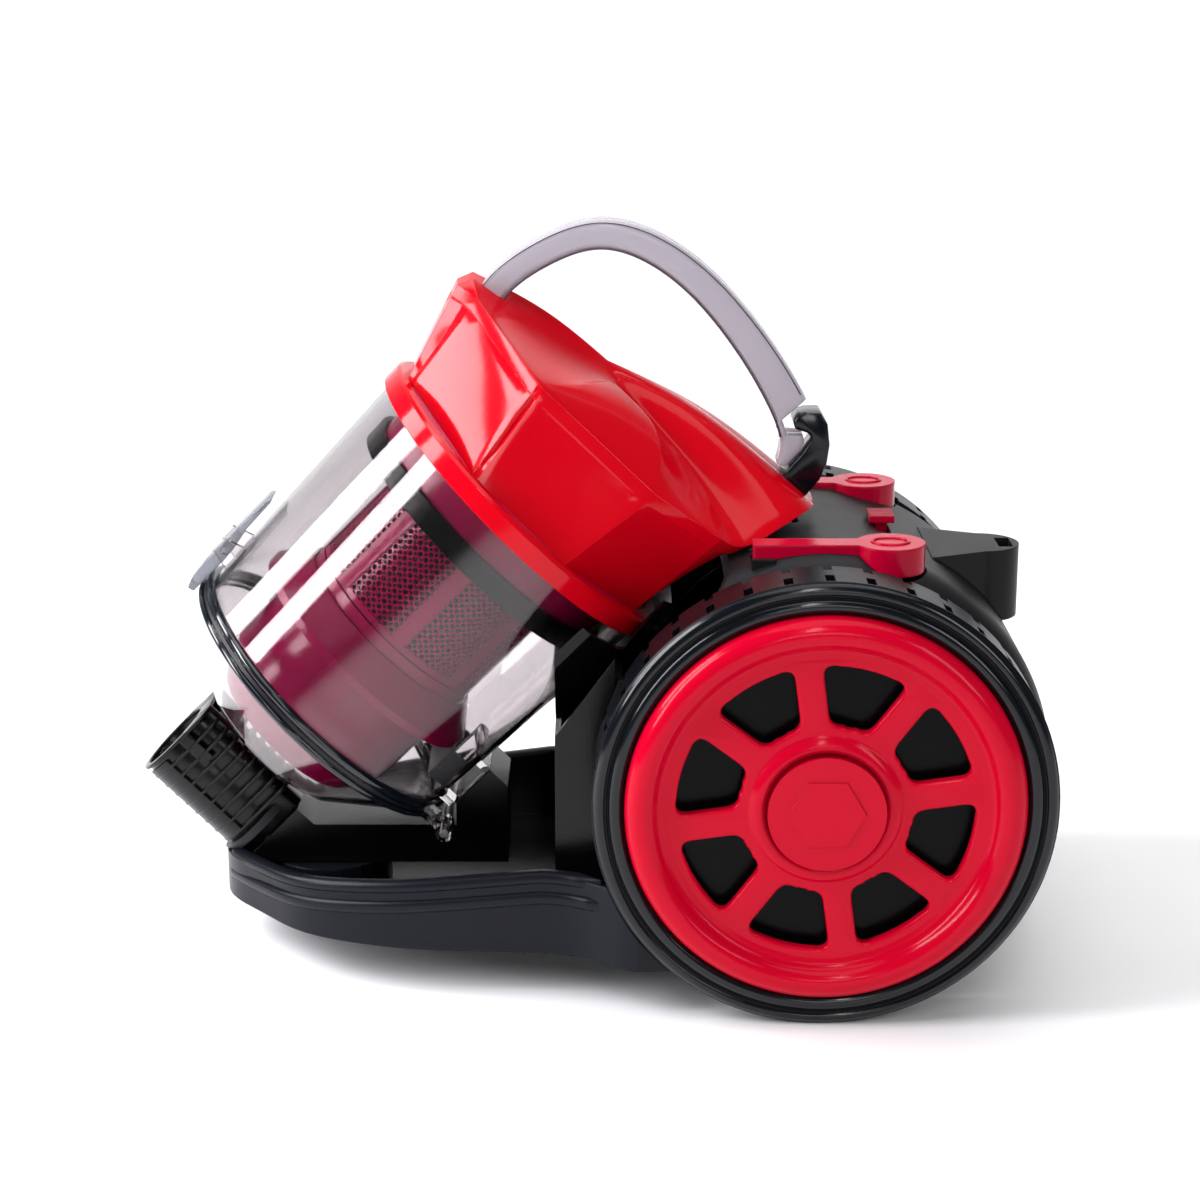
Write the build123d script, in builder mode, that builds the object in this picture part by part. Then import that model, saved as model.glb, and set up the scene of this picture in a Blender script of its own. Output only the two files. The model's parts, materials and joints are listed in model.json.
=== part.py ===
from build123d import *
from math import atan, cos, radians, sin, tau
import os

# Bagless cylinder vacuum cleaner: a low tray and a drum-shaped motor housing between two big
# wheels, with a clear dust cup lying at 45 degrees in front of the housing.
# Millimetres, +Z up, the front of the machine towards -X, the floor at Z = 0.

# Wheels
TYRE_R = 105.0
AXLE_X, AXLE_Z = 108.0, TYRE_R
WHEEL_INNER_Y, WHEEL_FACE_Y, TRIM_FACE_Y = 92.0, 122.0, 130.0
TRIM_R = 90.3
RIM_SEAT_R = 98.2
SPOKES, FIRST_SPOKE_ANGLE, SPOKE_WIDTH = 8, 8.0, 10.5
TREAD_GROOVES = 36
AXLE_R, AXLE_RUNNING_GAP = 6.0, 0.06

# Motor housing: a drum lying crosswise, a little larger than the wheels
DRUM_X, DRUM_Z, DRUM_R = 110.5, 104.0, 107.0
DRUM_HALF_WIDTH, DRUM_SHOULDER_R = 88.0, 26.0
WALL = 3.0
TRAY_BOTTOM_Z, TRAY_FLOOR_Z, TRAY_TOP_Z, DRUM_FLOOR_Z = 22.0, 25.0, 60.0, 18.0
WALL_X = -14.0
CASTOR_X, CASTOR_R, CASTOR_TRAIL = -127.0, 14.0, 10.0
FORK_TOP_Z, CASTOR_ROOF_Z, CASTOR_BOSS_Z = 31.3, 32.3, 39.4

# Dust cup, measured along its own 45 degree axis from the plane of its top edge
CUP_RIM = (-33.6, 0, 216.3)
CUP_LENGTH, CUP_TOP_R, CUP_FOOT_R, CUP_WALL = 131.5, 83.0, 77.2, 2.6
COLLAR_R, COLLAR_TOP = 86.5, 10.0
LID_FACE, LID_DEPTH = -134.0, 36.0
HINGE_T, HINGE_S, HINGE_PIN_R, HINGE_KNUCKLE_R = -84.0, -133.0, 2.0, 4.3
CUP_CLEARANCE_R = 89.0
CAGE_R, SKIRT_R = 50.0, 64.0

# Hose inlet, square to the cup's axis
INLET_S, INLET_BORE_R, INLET_R, INLET_RIB_R = -203.0, 18.0, 19.6, 21.5
INLET_MOUTH_T, INLET_FOOT_T = 37.0, -29.0
INLET_RIBS, INLET_RIB_PITCH = 8, 6.6
DUCT_HALF_WIDTH, DUCT_WALL = 21.0, 2.0

# Pedals and slider
PEDAL_X, PEDAL_Y, PEDAL_R, PEDAL_TOP_Z = 140.0, 63.0, 16.0, 213.3
PEDAL_FRONT_X, PEDAL_ARM_WIDTH, PEDAL_THICKNESS = 77.0, 13.0, 13.0
PEDAL_PIVOT_X, PEDAL_PIVOT_Z, TRUNNION_R = 81.5, 196.5, 2.5
SLIDER_X, SLIDER_TOP_Z = 142.0, 212.0

# Motor, lying fore and aft beside the cord reel
MOTOR_Y, MOTOR_Z = -30.0, 104.0
FAN_R, CAN_R, SHAFT_R = 50.0, 41.0, 4.0
REEL_R, REEL_NEAR_Y, REEL_FAR_Y = 72.0, 30.0, 76.5

os.makedirs("parts", exist_ok=True)

# Side elevation: local x is X and local y is Z
SIDE = Plane.XZ
AXLE_AXIS = Axis((AXLE_X, 0, AXLE_Z), (0, 1, 0))
DRUM_SECTION = Plane((DRUM_X, 0, DRUM_Z), x_dir=(1, 0, 0), z_dir=(0, 0, 1))
DRUM_AXIS = Axis((DRUM_X, 0, DRUM_Z), (0, 1, 0))
# The cup's cross section, with local x towards the upper front, and its axial section,
# with local x the same way (t) and local y up the axis (s)
CUP = Plane(CUP_RIM, x_dir=(-1, 0, 1), z_dir=(1, 0, 1))
CUP_SECTION = Plane(CUP_RIM, x_dir=(-1, 0, 1), z_dir=(0, 1, 0))
CUP_AXIS = Axis(CUP_RIM, (1, 0, 1))
INLET_CENTRE = CUP_SECTION.from_local_coords((0, INLET_S, 0))
INLET = Plane(INLET_CENTRE, x_dir=(0, -1, 0), z_dir=(-1, 0, 1))
MOTOR = Plane((0, MOTOR_Y, MOTOR_Z), x_dir=(0, 1, 0), z_dir=(1, 0, 0))
MOTOR_SECTION = Plane((0, MOTOR_Y, MOTOR_Z), x_dir=(1, 0, 0), z_dir=(0, -1, 0))
MOTOR_AXIS = Axis((0, MOTOR_Y, MOTOR_Z), (1, 0, 0))


def wheel_section(side):
    """Axial section of a wheel: local x is the radius, local y the distance outwards."""
    return Plane((AXLE_X, 0, AXLE_Z), x_dir=(1, 0, 0), z_dir=(0, 0, side))


def wheel_face(side, distance):
    """The plane across a wheel at a distance from the middle of the machine."""
    return Plane((AXLE_X, side * distance, AXLE_Z), x_dir=(1, 0, 0), z_dir=(0, side, 0))


def outline(plane, points):
    """A flat face with straight sides through the points."""
    with BuildSketch(plane) as face:
        with BuildLine():
            Polyline(*points, close=True)
        make_face()
    return face.sketch


def turned(plane, axis, points):
    """A solid turned about an axis from an outline drawn in a plane that holds the axis."""
    with BuildPart() as body:
        revolve(outline(plane, points).faces(), axis=axis)
    return body


def cup_turned(points):
    """A solid turned about the cup's axis from (radius, height) points."""
    return turned(CUP_SECTION, CUP_AXIS, points)


def side_plate(points, half_width, plane=SIDE):
    """A plate of an outline in the side elevation, the same width each side of the middle."""
    with BuildPart() as plate:
        extrude(outline(plane, points), amount=half_width, both=True)
    return plate


def cup_cylinder(radius, low, high):
    """A plain cylinder on the cup's axis."""
    with BuildPart() as body:
        with BuildSketch(CUP.offset(low)):
            Circle(radius)
        extrude(amount=high - low)
    return body


def drum(inset):
    """The drum of the motor housing, shrunk by an inset on every side."""
    radius, half = DRUM_R - inset, DRUM_HALF_WIDTH - inset
    with BuildPart() as body:
        with BuildSketch(DRUM_SECTION) as section:
            with Locations((radius / 2, 0)):
                Rectangle(radius, 2 * half)
            corners = section.vertices().group_by(Axis.X)[-1]
            fillet(corners, DRUM_SHOULDER_R - inset)
        revolve(axis=DRUM_AXIS)
    return body


def save(name, builder):
    """Labels a finished piece and writes it to its own file."""
    builder.part.label = name
    export_step(builder.part, f"parts/{name}.step")


# ---------------------------------------------------------------- wheels and castor


def make_tyre(side):
    tread_depth = 2.6
    with BuildPart() as tyre:
        section = [(98.4, 92), (103.4, 92), (105, 93.6), (105, 119.8), (102.8, 122), (98.4, 122)]
        revolve(outline(wheel_section(side), section).faces(), axis=AXLE_AXIS)
        for start in (90.0, 109.0):
            with BuildSketch(wheel_face(side, start)):
                with PolarLocations(TYRE_R, TREAD_GROOVES):
                    Rectangle(2 * tread_depth, 4.2)
            extrude(amount=10.0, mode=Mode.SUBTRACT)
    return tyre


def make_wheel_disc(side):
    bore = AXLE_R + AXLE_RUNNING_GAP
    rim = [(85, 108.5), (92, 93), (RIM_SEAT_R, 93), (RIM_SEAT_R, 122), (90.9, 122), (90.9, 113)]
    hub = [(15, 113), (15, 117.5), (bore, 117.5), (bore, 93), (15, 93), (15, 108.5)]
    return turned(wheel_section(side), AXLE_AXIS, rim + hub)


def make_wheel_trim(side):
    outer = [(80, 114), (TRIM_R, 114), (TRIM_R, 128), (88.3, 130), (79, 130), (74, 126.5)]
    inner = [(30, 125.5), (28, 127.5), (16, 127.5), (16, 119), (70, 119)]
    with BuildPart() as trim:
        revolve(outline(wheel_section(side), outer + inner).faces(), axis=AXLE_AXIS)
        with BuildSketch(wheel_face(side, 113)) as windows:
            Circle(69.5)
            Circle(36.5, mode=Mode.SUBTRACT)
            with PolarLocations(50, SPOKES, start_angle=FIRST_SPOKE_ANGLE):
                Rectangle(80, SPOKE_WIDTH, mode=Mode.SUBTRACT)
            fillet(windows.vertices(), 4.5)
        extrude(amount=20, mode=Mode.SUBTRACT)
    return trim


def make_hub_cap(side):
    with BuildPart() as cap:
        with BuildSketch(wheel_face(side, 119)):
            Circle(12.5)
        extrude(amount=8.7)
        with BuildSketch(wheel_face(side, 127.7)):
            Circle(26.6)
        extrude(amount=1.6)
        with BuildSketch(wheel_face(side, 129.2)):
            RegularPolygon(17.5, 6)
        extrude(amount=0.8)
    return cap


def make_axle_pins():
    with BuildPart() as pins:
        for side in (-1, 1):
            with BuildSketch(wheel_face(side, 79.5)):
                Circle(AXLE_R)
            extrude(amount=39.0)
    return pins


def make_castor_fork():
    arm_gap, arm_width = 8.2, 2.6
    wheel_x = CASTOR_X + CASTOR_TRAIL
    with BuildPart() as fork:
        with BuildSketch(Plane.XY.offset(28.8)):
            with Locations((CASTOR_X, 0)):
                Circle(11.5)
        extrude(amount=FORK_TOP_Z - 28.8)
        with BuildSketch(Plane.XY.offset(FORK_TOP_Z)):
            with Locations((CASTOR_X, 0)):
                Circle(4.0)
        extrude(amount=7.6)
        arm = [(CASTOR_X - 3, 30), (CASTOR_X + 10, 30)]
        arm += [(wheel_x + 5, 14), (wheel_x, 9.5), (wheel_x - 5, 14)]
        for side in (-1, 1):
            extrude(outline(SIDE.offset(side * arm_gap), arm), amount=side * arm_width)
        with BuildSketch(SIDE.offset(-20)):
            with Locations((wheel_x, CASTOR_R)):
                Circle(2.03)
        extrude(amount=40, mode=Mode.SUBTRACT)
    return fork


def make_castor_wheel():
    with BuildPart() as roller:
        with BuildSketch(SIDE.offset(-7)):
            with Locations((CASTOR_X + CASTOR_TRAIL, CASTOR_R)):
                Circle(CASTOR_R)
                Circle(2.06, mode=Mode.SUBTRACT)
        extrude(amount=14)
        chamfer(roller.edges().filter_by(GeomType.CIRCLE).sort_by(SortBy.RADIUS)[-2:], 1.5)
    return roller


def make_castor_pin():
    with BuildPart() as pin:
        with BuildSketch(SIDE.offset(-10.8)):
            with Locations((CASTOR_X + CASTOR_TRAIL, CASTOR_R)):
                Circle(2.0)
        extrude(amount=21.6)
    return pin


# ---------------------------------------------------------------- tray and ducts


def tray_plan(inset):
    """Plan of the tray: a blunt nose that widens into skirts in front of the wheels."""
    nose_x = -178.6 + inset
    side = [(-158, 41), (-136, 65), (-111, 78), (-87, 85), (-58, 88.5), (-30, 90)]
    skirt = [(-7, 94), (7, 102), (24, 112)]
    shoulders = [(x, y - inset) for x, y in side + skirt]
    shoulders[0] = (-158 + inset, 41 - inset / 2)
    with BuildSketch() as plan:
        with BuildLine():
            Spline((nose_x, 0), *shoulders, tangents=[(0, 1), (1, 0.35)])
            Line((24, 112 - inset), (60, 112 - inset))
            Line((60, 112 - inset), (60, 0))
            Line((60, 0), (nose_x, 0))
        make_face()
        mirror(about=Plane.XZ)
    return plan.sketch


def make_tray():
    with BuildPart() as lower_drum:
        add(drum(0).part)
        with Locations((DRUM_X, 0, (TRAY_TOP_Z + DRUM_FLOOR_Z) / 2)):
            Box(300, 200, TRAY_TOP_Z - DRUM_FLOOR_Z, mode=Mode.INTERSECT)
    with BuildPart() as drum_hollow:
        add(drum(WALL).part)
        with Locations((DRUM_X, 0, DRUM_FLOOR_Z + WALL + 100)):
            Box(300, 200, 200, mode=Mode.INTERSECT)
    with BuildPart() as wheel_room:
        for side in (-1, 1):
            with BuildSketch(wheel_face(side, 90.0)):
                Circle(TYRE_R + 2.5)
            extrude(amount=50)
    with BuildPart() as tray:
        with BuildSketch(Plane.XY.offset(TRAY_BOTTOM_Z)):
            add(tray_plan(0))
        extrude(amount=TRAY_TOP_Z - TRAY_BOTTOM_Z)
        with BuildSketch(Plane.XY.offset(TRAY_FLOOR_Z)):
            add(tray_plan(4))
        extrude(amount=60, mode=Mode.SUBTRACT)
        rim_cut = [(-200, 40.7), (-22, 59.5), (-22, 90), (-200, 90)]
        extrude(outline(SIDE, rim_cut), amount=150, both=True, mode=Mode.SUBTRACT)
        add(wheel_room.part, mode=Mode.SUBTRACT)
        add(lower_drum.part)
        add(drum_hollow.part, mode=Mode.SUBTRACT)
        with BuildSketch(Plane.XY.offset(TRAY_BOTTOM_Z)):
            with Locations((CASTOR_X, 0)):
                Circle(30)
        extrude(amount=CASTOR_BOSS_Z - TRAY_BOTTOM_Z)
        with BuildSketch(Plane.XY.offset(TRAY_BOTTOM_Z - 5)):
            with Locations((CASTOR_X, 0)):
                Circle(27)
        extrude(amount=CASTOR_ROOF_Z - TRAY_BOTTOM_Z + 5, mode=Mode.SUBTRACT)
        with BuildSketch(Plane.XY.offset(TRAY_BOTTOM_Z)):
            with Locations((CASTOR_X, 0)):
                Circle(4.06)
        extrude(amount=30, mode=Mode.SUBTRACT)
        with BuildSketch(INLET.offset(INLET_FOOT_T - 1)):
            Circle(INLET_RIB_R + 2.4)
        extrude(amount=30, mode=Mode.SUBTRACT)
        duct = outline(SIDE, duct_outline(0.6))
        extrude(duct, amount=DUCT_HALF_WIDTH + 0.6, both=True, mode=Mode.SUBTRACT)
    return tray


def duct_mouth(t, s_low, s_high):
    """Two points across the cup axis direction, in the side elevation."""
    low = CUP_SECTION.from_local_coords((t, s_low, 0))
    high = CUP_SECTION.from_local_coords((t, s_high, 0))
    return (low.X, low.Z), (high.X, high.Z)


def duct_outline(gap):
    """Side elevation of the inlet duct: foot of the hose inlet, along the tray, up to the cup's port."""
    foot_low, foot_high = duct_mouth(INLET_FOOT_T - 0.3 + gap, INLET_S - 19 - gap, INLET_S + INLET_RIB_R)
    port_low, port_high = duct_mouth(-82.0, -124.0, -100.0)
    outline_points = [foot_low, foot_high, (-133, 59.5), (port_low[0], 59.5), port_low, port_high]
    return outline_points + [(-38, 79), (-38, 40 - gap), (-163, 40 - gap)]


def make_inlet_duct():
    port_low = duct_mouth(-82.0, -124.0, -100.0)[0]
    bore_low, bore_high = duct_mouth(INLET_FOOT_T + 2, INLET_S - INLET_BORE_R, INLET_S + INLET_BORE_R)
    exit_low, exit_high = duct_mouth(-78.0, -122.0, -102.0)
    inner = [bore_low, bore_high, (-134, 57.4), (port_low[0] + 2.2, 57.4), exit_low, exit_high]
    inner += [(-40.2, 78), (-40.2, 42.2), (-160, 42.2)]
    with BuildPart() as duct:
        extrude(outline(SIDE, duct_outline(0)), amount=DUCT_HALF_WIDTH, both=True)
        extrude(outline(SIDE, inner), amount=DUCT_HALF_WIDTH - DUCT_WALL, both=True, mode=Mode.SUBTRACT)
    return duct


def make_port_seal():
    with BuildPart() as seal:
        with BuildSketch(CUP.offset(-124)):
            with Locations((-81.2, 0)):
                Rectangle(1.2, 2 * DUCT_HALF_WIDTH)
        extrude(amount=24)
        with BuildSketch(CUP.offset(-121)):
            with Locations((-81.2, 0)):
                Rectangle(3, 2 * DUCT_HALF_WIDTH - 8)
        extrude(amount=18, mode=Mode.SUBTRACT)
    return seal


def make_hose_inlet():
    with BuildPart() as inlet:
        with BuildSketch(INLET.offset(INLET_FOOT_T)):
            Circle(INLET_R)
        extrude(amount=INLET_MOUTH_T - INLET_FOOT_T)
        for rib in range(INLET_RIBS + 1):
            with BuildSketch(INLET.offset(-18 + rib * INLET_RIB_PITCH)):
                Circle(INLET_RIB_R)
            extrude(amount=1.6)
        with BuildSketch(INLET.offset(-18)):
            with Locations((16, -4)):
                Rectangle(9, 13)
        extrude(amount=INLET_MOUTH_T + 18)
        with BuildSketch(INLET.offset(INLET_FOOT_T)):
            Circle(INLET_BORE_R)
        extrude(amount=80, mode=Mode.SUBTRACT)
        with BuildSketch(INLET.offset(INLET_MOUTH_T - 14)):
            with Locations((0, -22)):
                Rectangle(7, 14)
        extrude(amount=20, mode=Mode.SUBTRACT)
    return inlet


def make_inlet_seal():
    with BuildPart() as seal:
        with BuildSketch(INLET.offset(-24)):
            Circle(INLET_RIB_R + 2.0)
            Circle(INLET_R + 0.1, mode=Mode.SUBTRACT)
        extrude(amount=4)
    return seal


# ---------------------------------------------------------------- motor housing


def pedal_plan(side, gap):
    """Plan of a pedal: a round end with an arm towards the front, grown by a gap."""
    length = PEDAL_X - PEDAL_FRONT_X
    with BuildSketch() as plan:
        with Locations((PEDAL_X, side * PEDAL_Y)):
            Circle(PEDAL_R + gap)
        with Locations((PEDAL_X - length / 2, side * PEDAL_Y)):
            Rectangle(length + 2 * gap, PEDAL_ARM_WIDTH + 2 * gap)
    return plan.sketch


def head_room():
    """The space kept clear over the housing for the cup's head to lift straight up."""
    under = [(20, 150), (36.0, 160.5), (47.0, 171.5), (66.5, 200.9), (66.5, 260), (-60, 260), (-60, 150)]
    return side_plate(under, 100)


def make_motor_housing():
    with BuildPart() as housing:
        add(drum(0).part)
        add(drum(WALL).part, mode=Mode.SUBTRACT)
        for side in (-1, 1):
            with BuildSketch(wheel_face(side, 79.5)):
                Circle(13)
            extrude(amount=11.5)
            for offset in (-9.5, 9.5):
                with Locations((PEDAL_PIVOT_X, side * PEDAL_Y + offset, 198.5)):
                    Box(11, 3, 18)
        with Locations((DRUM_X, 0, TRAY_TOP_Z + 100.3)):
            Box(300, 2 * 91, 200, mode=Mode.INTERSECT)
        for side in (-1, 1):
            with BuildSketch(Plane.XY.offset(150)):
                add(pedal_plan(side, 0.9))
            extrude(amount=100, mode=Mode.SUBTRACT)
            for offset in (-9.5, 9.5):
                with Locations((PEDAL_PIVOT_X, side * PEDAL_Y + offset, 197)):
                    Box(9, 3, 13)
            with BuildSketch(SIDE.offset(-side * PEDAL_Y - 20)):
                with Locations((PEDAL_PIVOT_X, PEDAL_PIVOT_Z)):
                    Circle(TRUNNION_R + 0.06)
            extrude(amount=40, mode=Mode.SUBTRACT)
            with BuildSketch(wheel_face(side, 70)):
                Circle(AXLE_R)
            extrude(amount=30, mode=Mode.SUBTRACT)
        with BuildSketch(Plane.XY.offset(190)):
            with Locations((SLIDER_X, 0)):
                Rectangle(7.6, 34)
        extrude(amount=40, mode=Mode.SUBTRACT)
        with Locations((210, 0, 115)):
            Box(40, 90, 62, mode=Mode.SUBTRACT)
        with Locations((210, 62, 80)):
            Cylinder(9, 40, rotation=(0, 90, 0), mode=Mode.SUBTRACT)
        with BuildSketch(Plane.XY.offset(190)):
            with GridLocations(6, 0, 5, 1):
                with Locations((88, 0)):
                    Rectangle(3, 30)
        extrude(amount=40, mode=Mode.SUBTRACT)
        add(cup_cylinder(CUP_CLEARANCE_R + WALL + 0.1, -220, 25.1).part, mode=Mode.SUBTRACT)
        add(head_room().part, mode=Mode.SUBTRACT)
    return housing


def make_cup_cradle():
    """The front wall of the housing, hollowed to the cup, that closes off the motor."""
    side = [(WALL_X, 25.3), (14, 25.3), (14, 160), (WALL_X, 122)]
    inner = [(WALL_X + WALL, 28), (60, 28), (60, 200), (WALL_X + WALL, 200)]
    with BuildPart() as bowl_top:
        add(cup_cylinder(CUP_CLEARANCE_R + WALL, -6.1, 25).part)
        with Locations((14, 0, 110)):
            Box(2 * (14 - WALL_X), 144, 169.4, mode=Mode.INTERSECT)
        add(drum(0).part, mode=Mode.INTERSECT)
    with BuildPart() as bowl:
        add(cup_cylinder(CUP_CLEARANCE_R + WALL, -130, -6).part)
        with Locations((14, 0, 110)):
            Box(2 * (14 - WALL_X), 144, 169.4, mode=Mode.INTERSECT)
        add(bowl_top.part)
    with BuildPart() as cradle:
        extrude(outline(SIDE, side), amount=72, both=True)
        extrude(outline(SIDE, inner), amount=69, both=True, mode=Mode.SUBTRACT)
        add(drum(-0.1).part, mode=Mode.SUBTRACT)
        add(bowl.part)
        add(cup_cylinder(CUP_CLEARANCE_R, -220, 30).part, mode=Mode.SUBTRACT)
    return cradle


def make_park_bracket():
    with BuildPart() as bracket:
        with BuildSketch(Plane.XY.offset(162)):
            with BuildLine():
                Polyline((150, -36), (192, -17.5), (192, 17.5), (150, 36), close=True)
            make_face()
            with Locations((191.5, 0)):
                Circle(17.8)
        extrude(amount=35)
        with BuildSketch(Plane.XY.offset(150)):
            with Locations((202, 0)):
                Rectangle(7, 17)
        extrude(amount=60, mode=Mode.SUBTRACT)
        add(drum(-0.05).part, mode=Mode.SUBTRACT)
    return bracket


def make_exhaust_grille():
    with BuildPart() as grille:
        add(drum(0.3).part)
        add(drum(WALL).part, mode=Mode.SUBTRACT)
        with Locations((215, 0, 115)):
            Box(40, 88.6, 60.6, mode=Mode.INTERSECT)
        with BuildSketch(Plane.YZ.offset(190)):
            with Locations((0, 117)):
                with GridLocations(41, 7, 2, 7):
                    SlotOverall(34, 3.2)
        extrude(amount=40, mode=Mode.SUBTRACT)
    return grille


def make_exhaust_filter():
    with BuildPart() as block:
        with Locations((197, 0, 115)):
            Box(12, 86, 54)
    return block


def make_cord_outlet():
    with BuildPart() as bush:
        with BuildSketch(Plane.YZ.offset(205)):
            with Locations((62, 80)):
                Circle(8.9)
                Circle(4.5, mode=Mode.SUBTRACT)
        extrude(amount=11)
    return bush


def make_housing_screws():
    with BuildPart() as screws:
        for x, y in ((70, -60), (70, 60), (150, -60), (150, 60)):
            with Locations((x, y, 15.9)):
                Cylinder(3.6, 2.0, align=(Align.CENTER, Align.CENTER, Align.MIN))
    return screws


# ---------------------------------------------------------------- pedals and slider


def make_pedal(side):
    bottom_z = PEDAL_TOP_Z - PEDAL_THICKNESS
    with BuildPart() as pedal:
        with BuildSketch(Plane.XY.offset(bottom_z)):
            add(pedal_plan(side, 0))
        extrude(amount=PEDAL_THICKNESS)
        with BuildSketch(Plane.XY.offset(PEDAL_TOP_Z - 1.2)):
            with Locations((PEDAL_X, side * PEDAL_Y)):
                Ellipse(9, 7)
                Ellipse(7.4, 5.4, mode=Mode.SUBTRACT)
        extrude(amount=2, mode=Mode.SUBTRACT)
        with Locations((PEDAL_PIVOT_X, side * PEDAL_Y, 198.6)):
            Box(6, 10, 9)
        with BuildSketch(SIDE.offset(-side * PEDAL_Y - 11)):
            with Locations((PEDAL_PIVOT_X, PEDAL_PIVOT_Z)):
                Circle(TRUNNION_R)
        extrude(amount=22)
        with Locations((PEDAL_X, side * PEDAL_Y, bottom_z - 3)):
            Cylinder(3.2, 7)
    return pedal


def make_pedal_spring(side):
    """A short compression spring under the round end of a pedal."""
    coil_r, wire_r, length = 5.0, 0.6, 13.0
    with BuildPart() as spring:
        with BuildLine(Plane((PEDAL_X, side * PEDAL_Y, 186.2))) as path:
            Helix(pitch=3.2, height=length, radius=coil_r)
        with BuildSketch(Plane(path.line @ 0, z_dir=path.line % 0)):
            Circle(wire_r)
        sweep()
    return spring


def make_slider():
    with BuildPart() as slider:
        with Locations((SLIDER_X, 0, (208.4 + SLIDER_TOP_Z) / 2)):
            Box(12, 16, SLIDER_TOP_Z - 208.4)
        with BuildSketch(Plane.XY.offset(SLIDER_TOP_Z - 1)):
            with Locations((SLIDER_X, 0)):
                with GridLocations(0, 3, 1, 5):
                    Rectangle(12, 1.2)
        extrude(amount=1, mode=Mode.SUBTRACT)
        with Locations((SLIDER_X, 0, 203.8)):
            Box(6, 8, 9.4)
        with Locations((SLIDER_X, 0, 198.5)):
            Box(14, 20, 2)
    return slider


# ---------------------------------------------------------------- motor, reel and electrics


def make_fan_cover():
    section = [(38, 18), (38, FAN_R), (72.5, FAN_R), (72.5, FAN_R - 1.6), (39.6, FAN_R - 1.6), (39.6, 18)]
    return turned(MOTOR_SECTION, MOTOR_AXIS, section)


def make_motor_can():
    section = [(72.6, 12), (72.6, FAN_R), (75, FAN_R), (75, CAN_R), (148, CAN_R), (148, 12)]
    section += [(146, 12), (146, CAN_R - 2), (75, CAN_R - 2), (75, 12)]
    return turned(MOTOR_SECTION, MOTOR_AXIS, section)


def make_motor_bearings():
    with BuildPart() as bearings:
        for start in (72.6, 140.8):
            with BuildSketch(MOTOR.offset(start)):
                Circle(11)
                Circle(SHAFT_R + 0.05, mode=Mode.SUBTRACT)
            extrude(amount=7)
    return bearings


def make_carbon_brushes():
    with BuildPart() as brushes:
        for side in (-1, 1):
            with Locations((132, MOTOR_Y + side * 24, MOTOR_Z)):
                Box(6, 18, 8)
    return brushes


def make_motor_mounts():
    """Rubber rings that hold the motor at its front and rear."""
    with BuildPart() as mounts:
        with BuildSketch(MOTOR.offset(41)):
            Circle(FAN_R + 5)
            Circle(FAN_R + 0.1, mode=Mode.SUBTRACT)
        extrude(amount=8)
        with BuildSketch(MOTOR.offset(148.1)):
            Circle(22)
            Circle(12, mode=Mode.SUBTRACT)
        extrude(amount=7)
    return mounts


def make_motor_shaft():
    with BuildPart() as shaft:
        with BuildSketch(MOTOR.offset(41)):
            Circle(SHAFT_R)
        extrude(amount=110)
    return shaft


def make_armature():
    with BuildPart() as armature:
        with BuildSketch(MOTOR.offset(84)):
            Circle(25)
            Circle(SHAFT_R + 0.05, mode=Mode.SUBTRACT)
        extrude(amount=38)
        with BuildSketch(MOTOR.offset(124)):
            Circle(14)
            Circle(SHAFT_R + 0.05, mode=Mode.SUBTRACT)
        extrude(amount=14)
        with BuildSketch(MOTOR.offset(121)):
            Circle(9)
            Circle(SHAFT_R + 0.05, mode=Mode.SUBTRACT)
        extrude(amount=4)
    return armature


def make_impeller():
    blades = 9
    with BuildPart() as impeller:
        with BuildSketch(MOTOR.offset(64)):
            Circle(44)
        extrude(amount=1.6)
        with BuildSketch(MOTOR.offset(50)):
            Circle(9)
        extrude(amount=14)
        with BuildSketch(MOTOR.offset(50)):
            with PolarLocations(25, blades):
                Rectangle(36, 1.4, rotation=35)
        extrude(amount=14)
        with BuildSketch(MOTOR.offset(45)):
            Circle(SHAFT_R + 0.05)
        extrude(amount=30, mode=Mode.SUBTRACT)
    return impeller


def make_reel_drum():
    hub = [(6.06, 30), (REEL_R, 30), (REEL_R, 32), (30, 32), (30, 74.5), (REEL_R, 74.5)]
    bore = [(REEL_R, REEL_FAR_Y), (6.06, REEL_FAR_Y)]
    return turned(wheel_section(1), AXLE_AXIS, hub + bore)


def make_reel_spindle():
    """The bracket and pin that carry the cord reel."""
    with BuildPart() as spindle:
        post = [(92, 21.2), (124, 21.2), (120, 112), (96, 112)]
        extrude(outline(Plane.XZ.offset(-19), post), amount=-2.6)
        with BuildSketch(Plane.XZ.offset(-21)):
            with Locations((AXLE_X, AXLE_Z)):
                Circle(6)
        extrude(amount=-57.5)
    return spindle


def make_reel_spring_case():
    return turned(wheel_section(1), AXLE_AXIS, [(6.3, 22), (44, 22), (44, 29.4), (6.3, 29.4)])


def make_power_switch():
    with BuildPart() as switch:
        with Locations((PEDAL_X, -PEDAL_Y, 172)):
            Box(22, 13, 16)
        with Locations((PEDAL_X, -PEDAL_Y, 182)):
            Cylinder(2.2, 4.4)
    return switch


def make_control_board():
    with BuildPart() as board:
        with Locations((SLIDER_X, 0, 188)):
            Box(44, 36, 1.6)
        with Locations((SLIDER_X, 0, 191.3)):
            Box(9, 30, 5)
        with Locations((SLIDER_X - 16, -8, 193)):
            Cylinder(5, 8.4)
    return board


# ---------------------------------------------------------------- dust cup


def hinge_face(side, distance):
    """The plane across the lid's hinge at a distance from the middle of the machine."""
    return Plane(CUP_SECTION.from_local_coords((HINGE_T, HINGE_S, side * distance)), z_dir=(0, side, 0))


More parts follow.
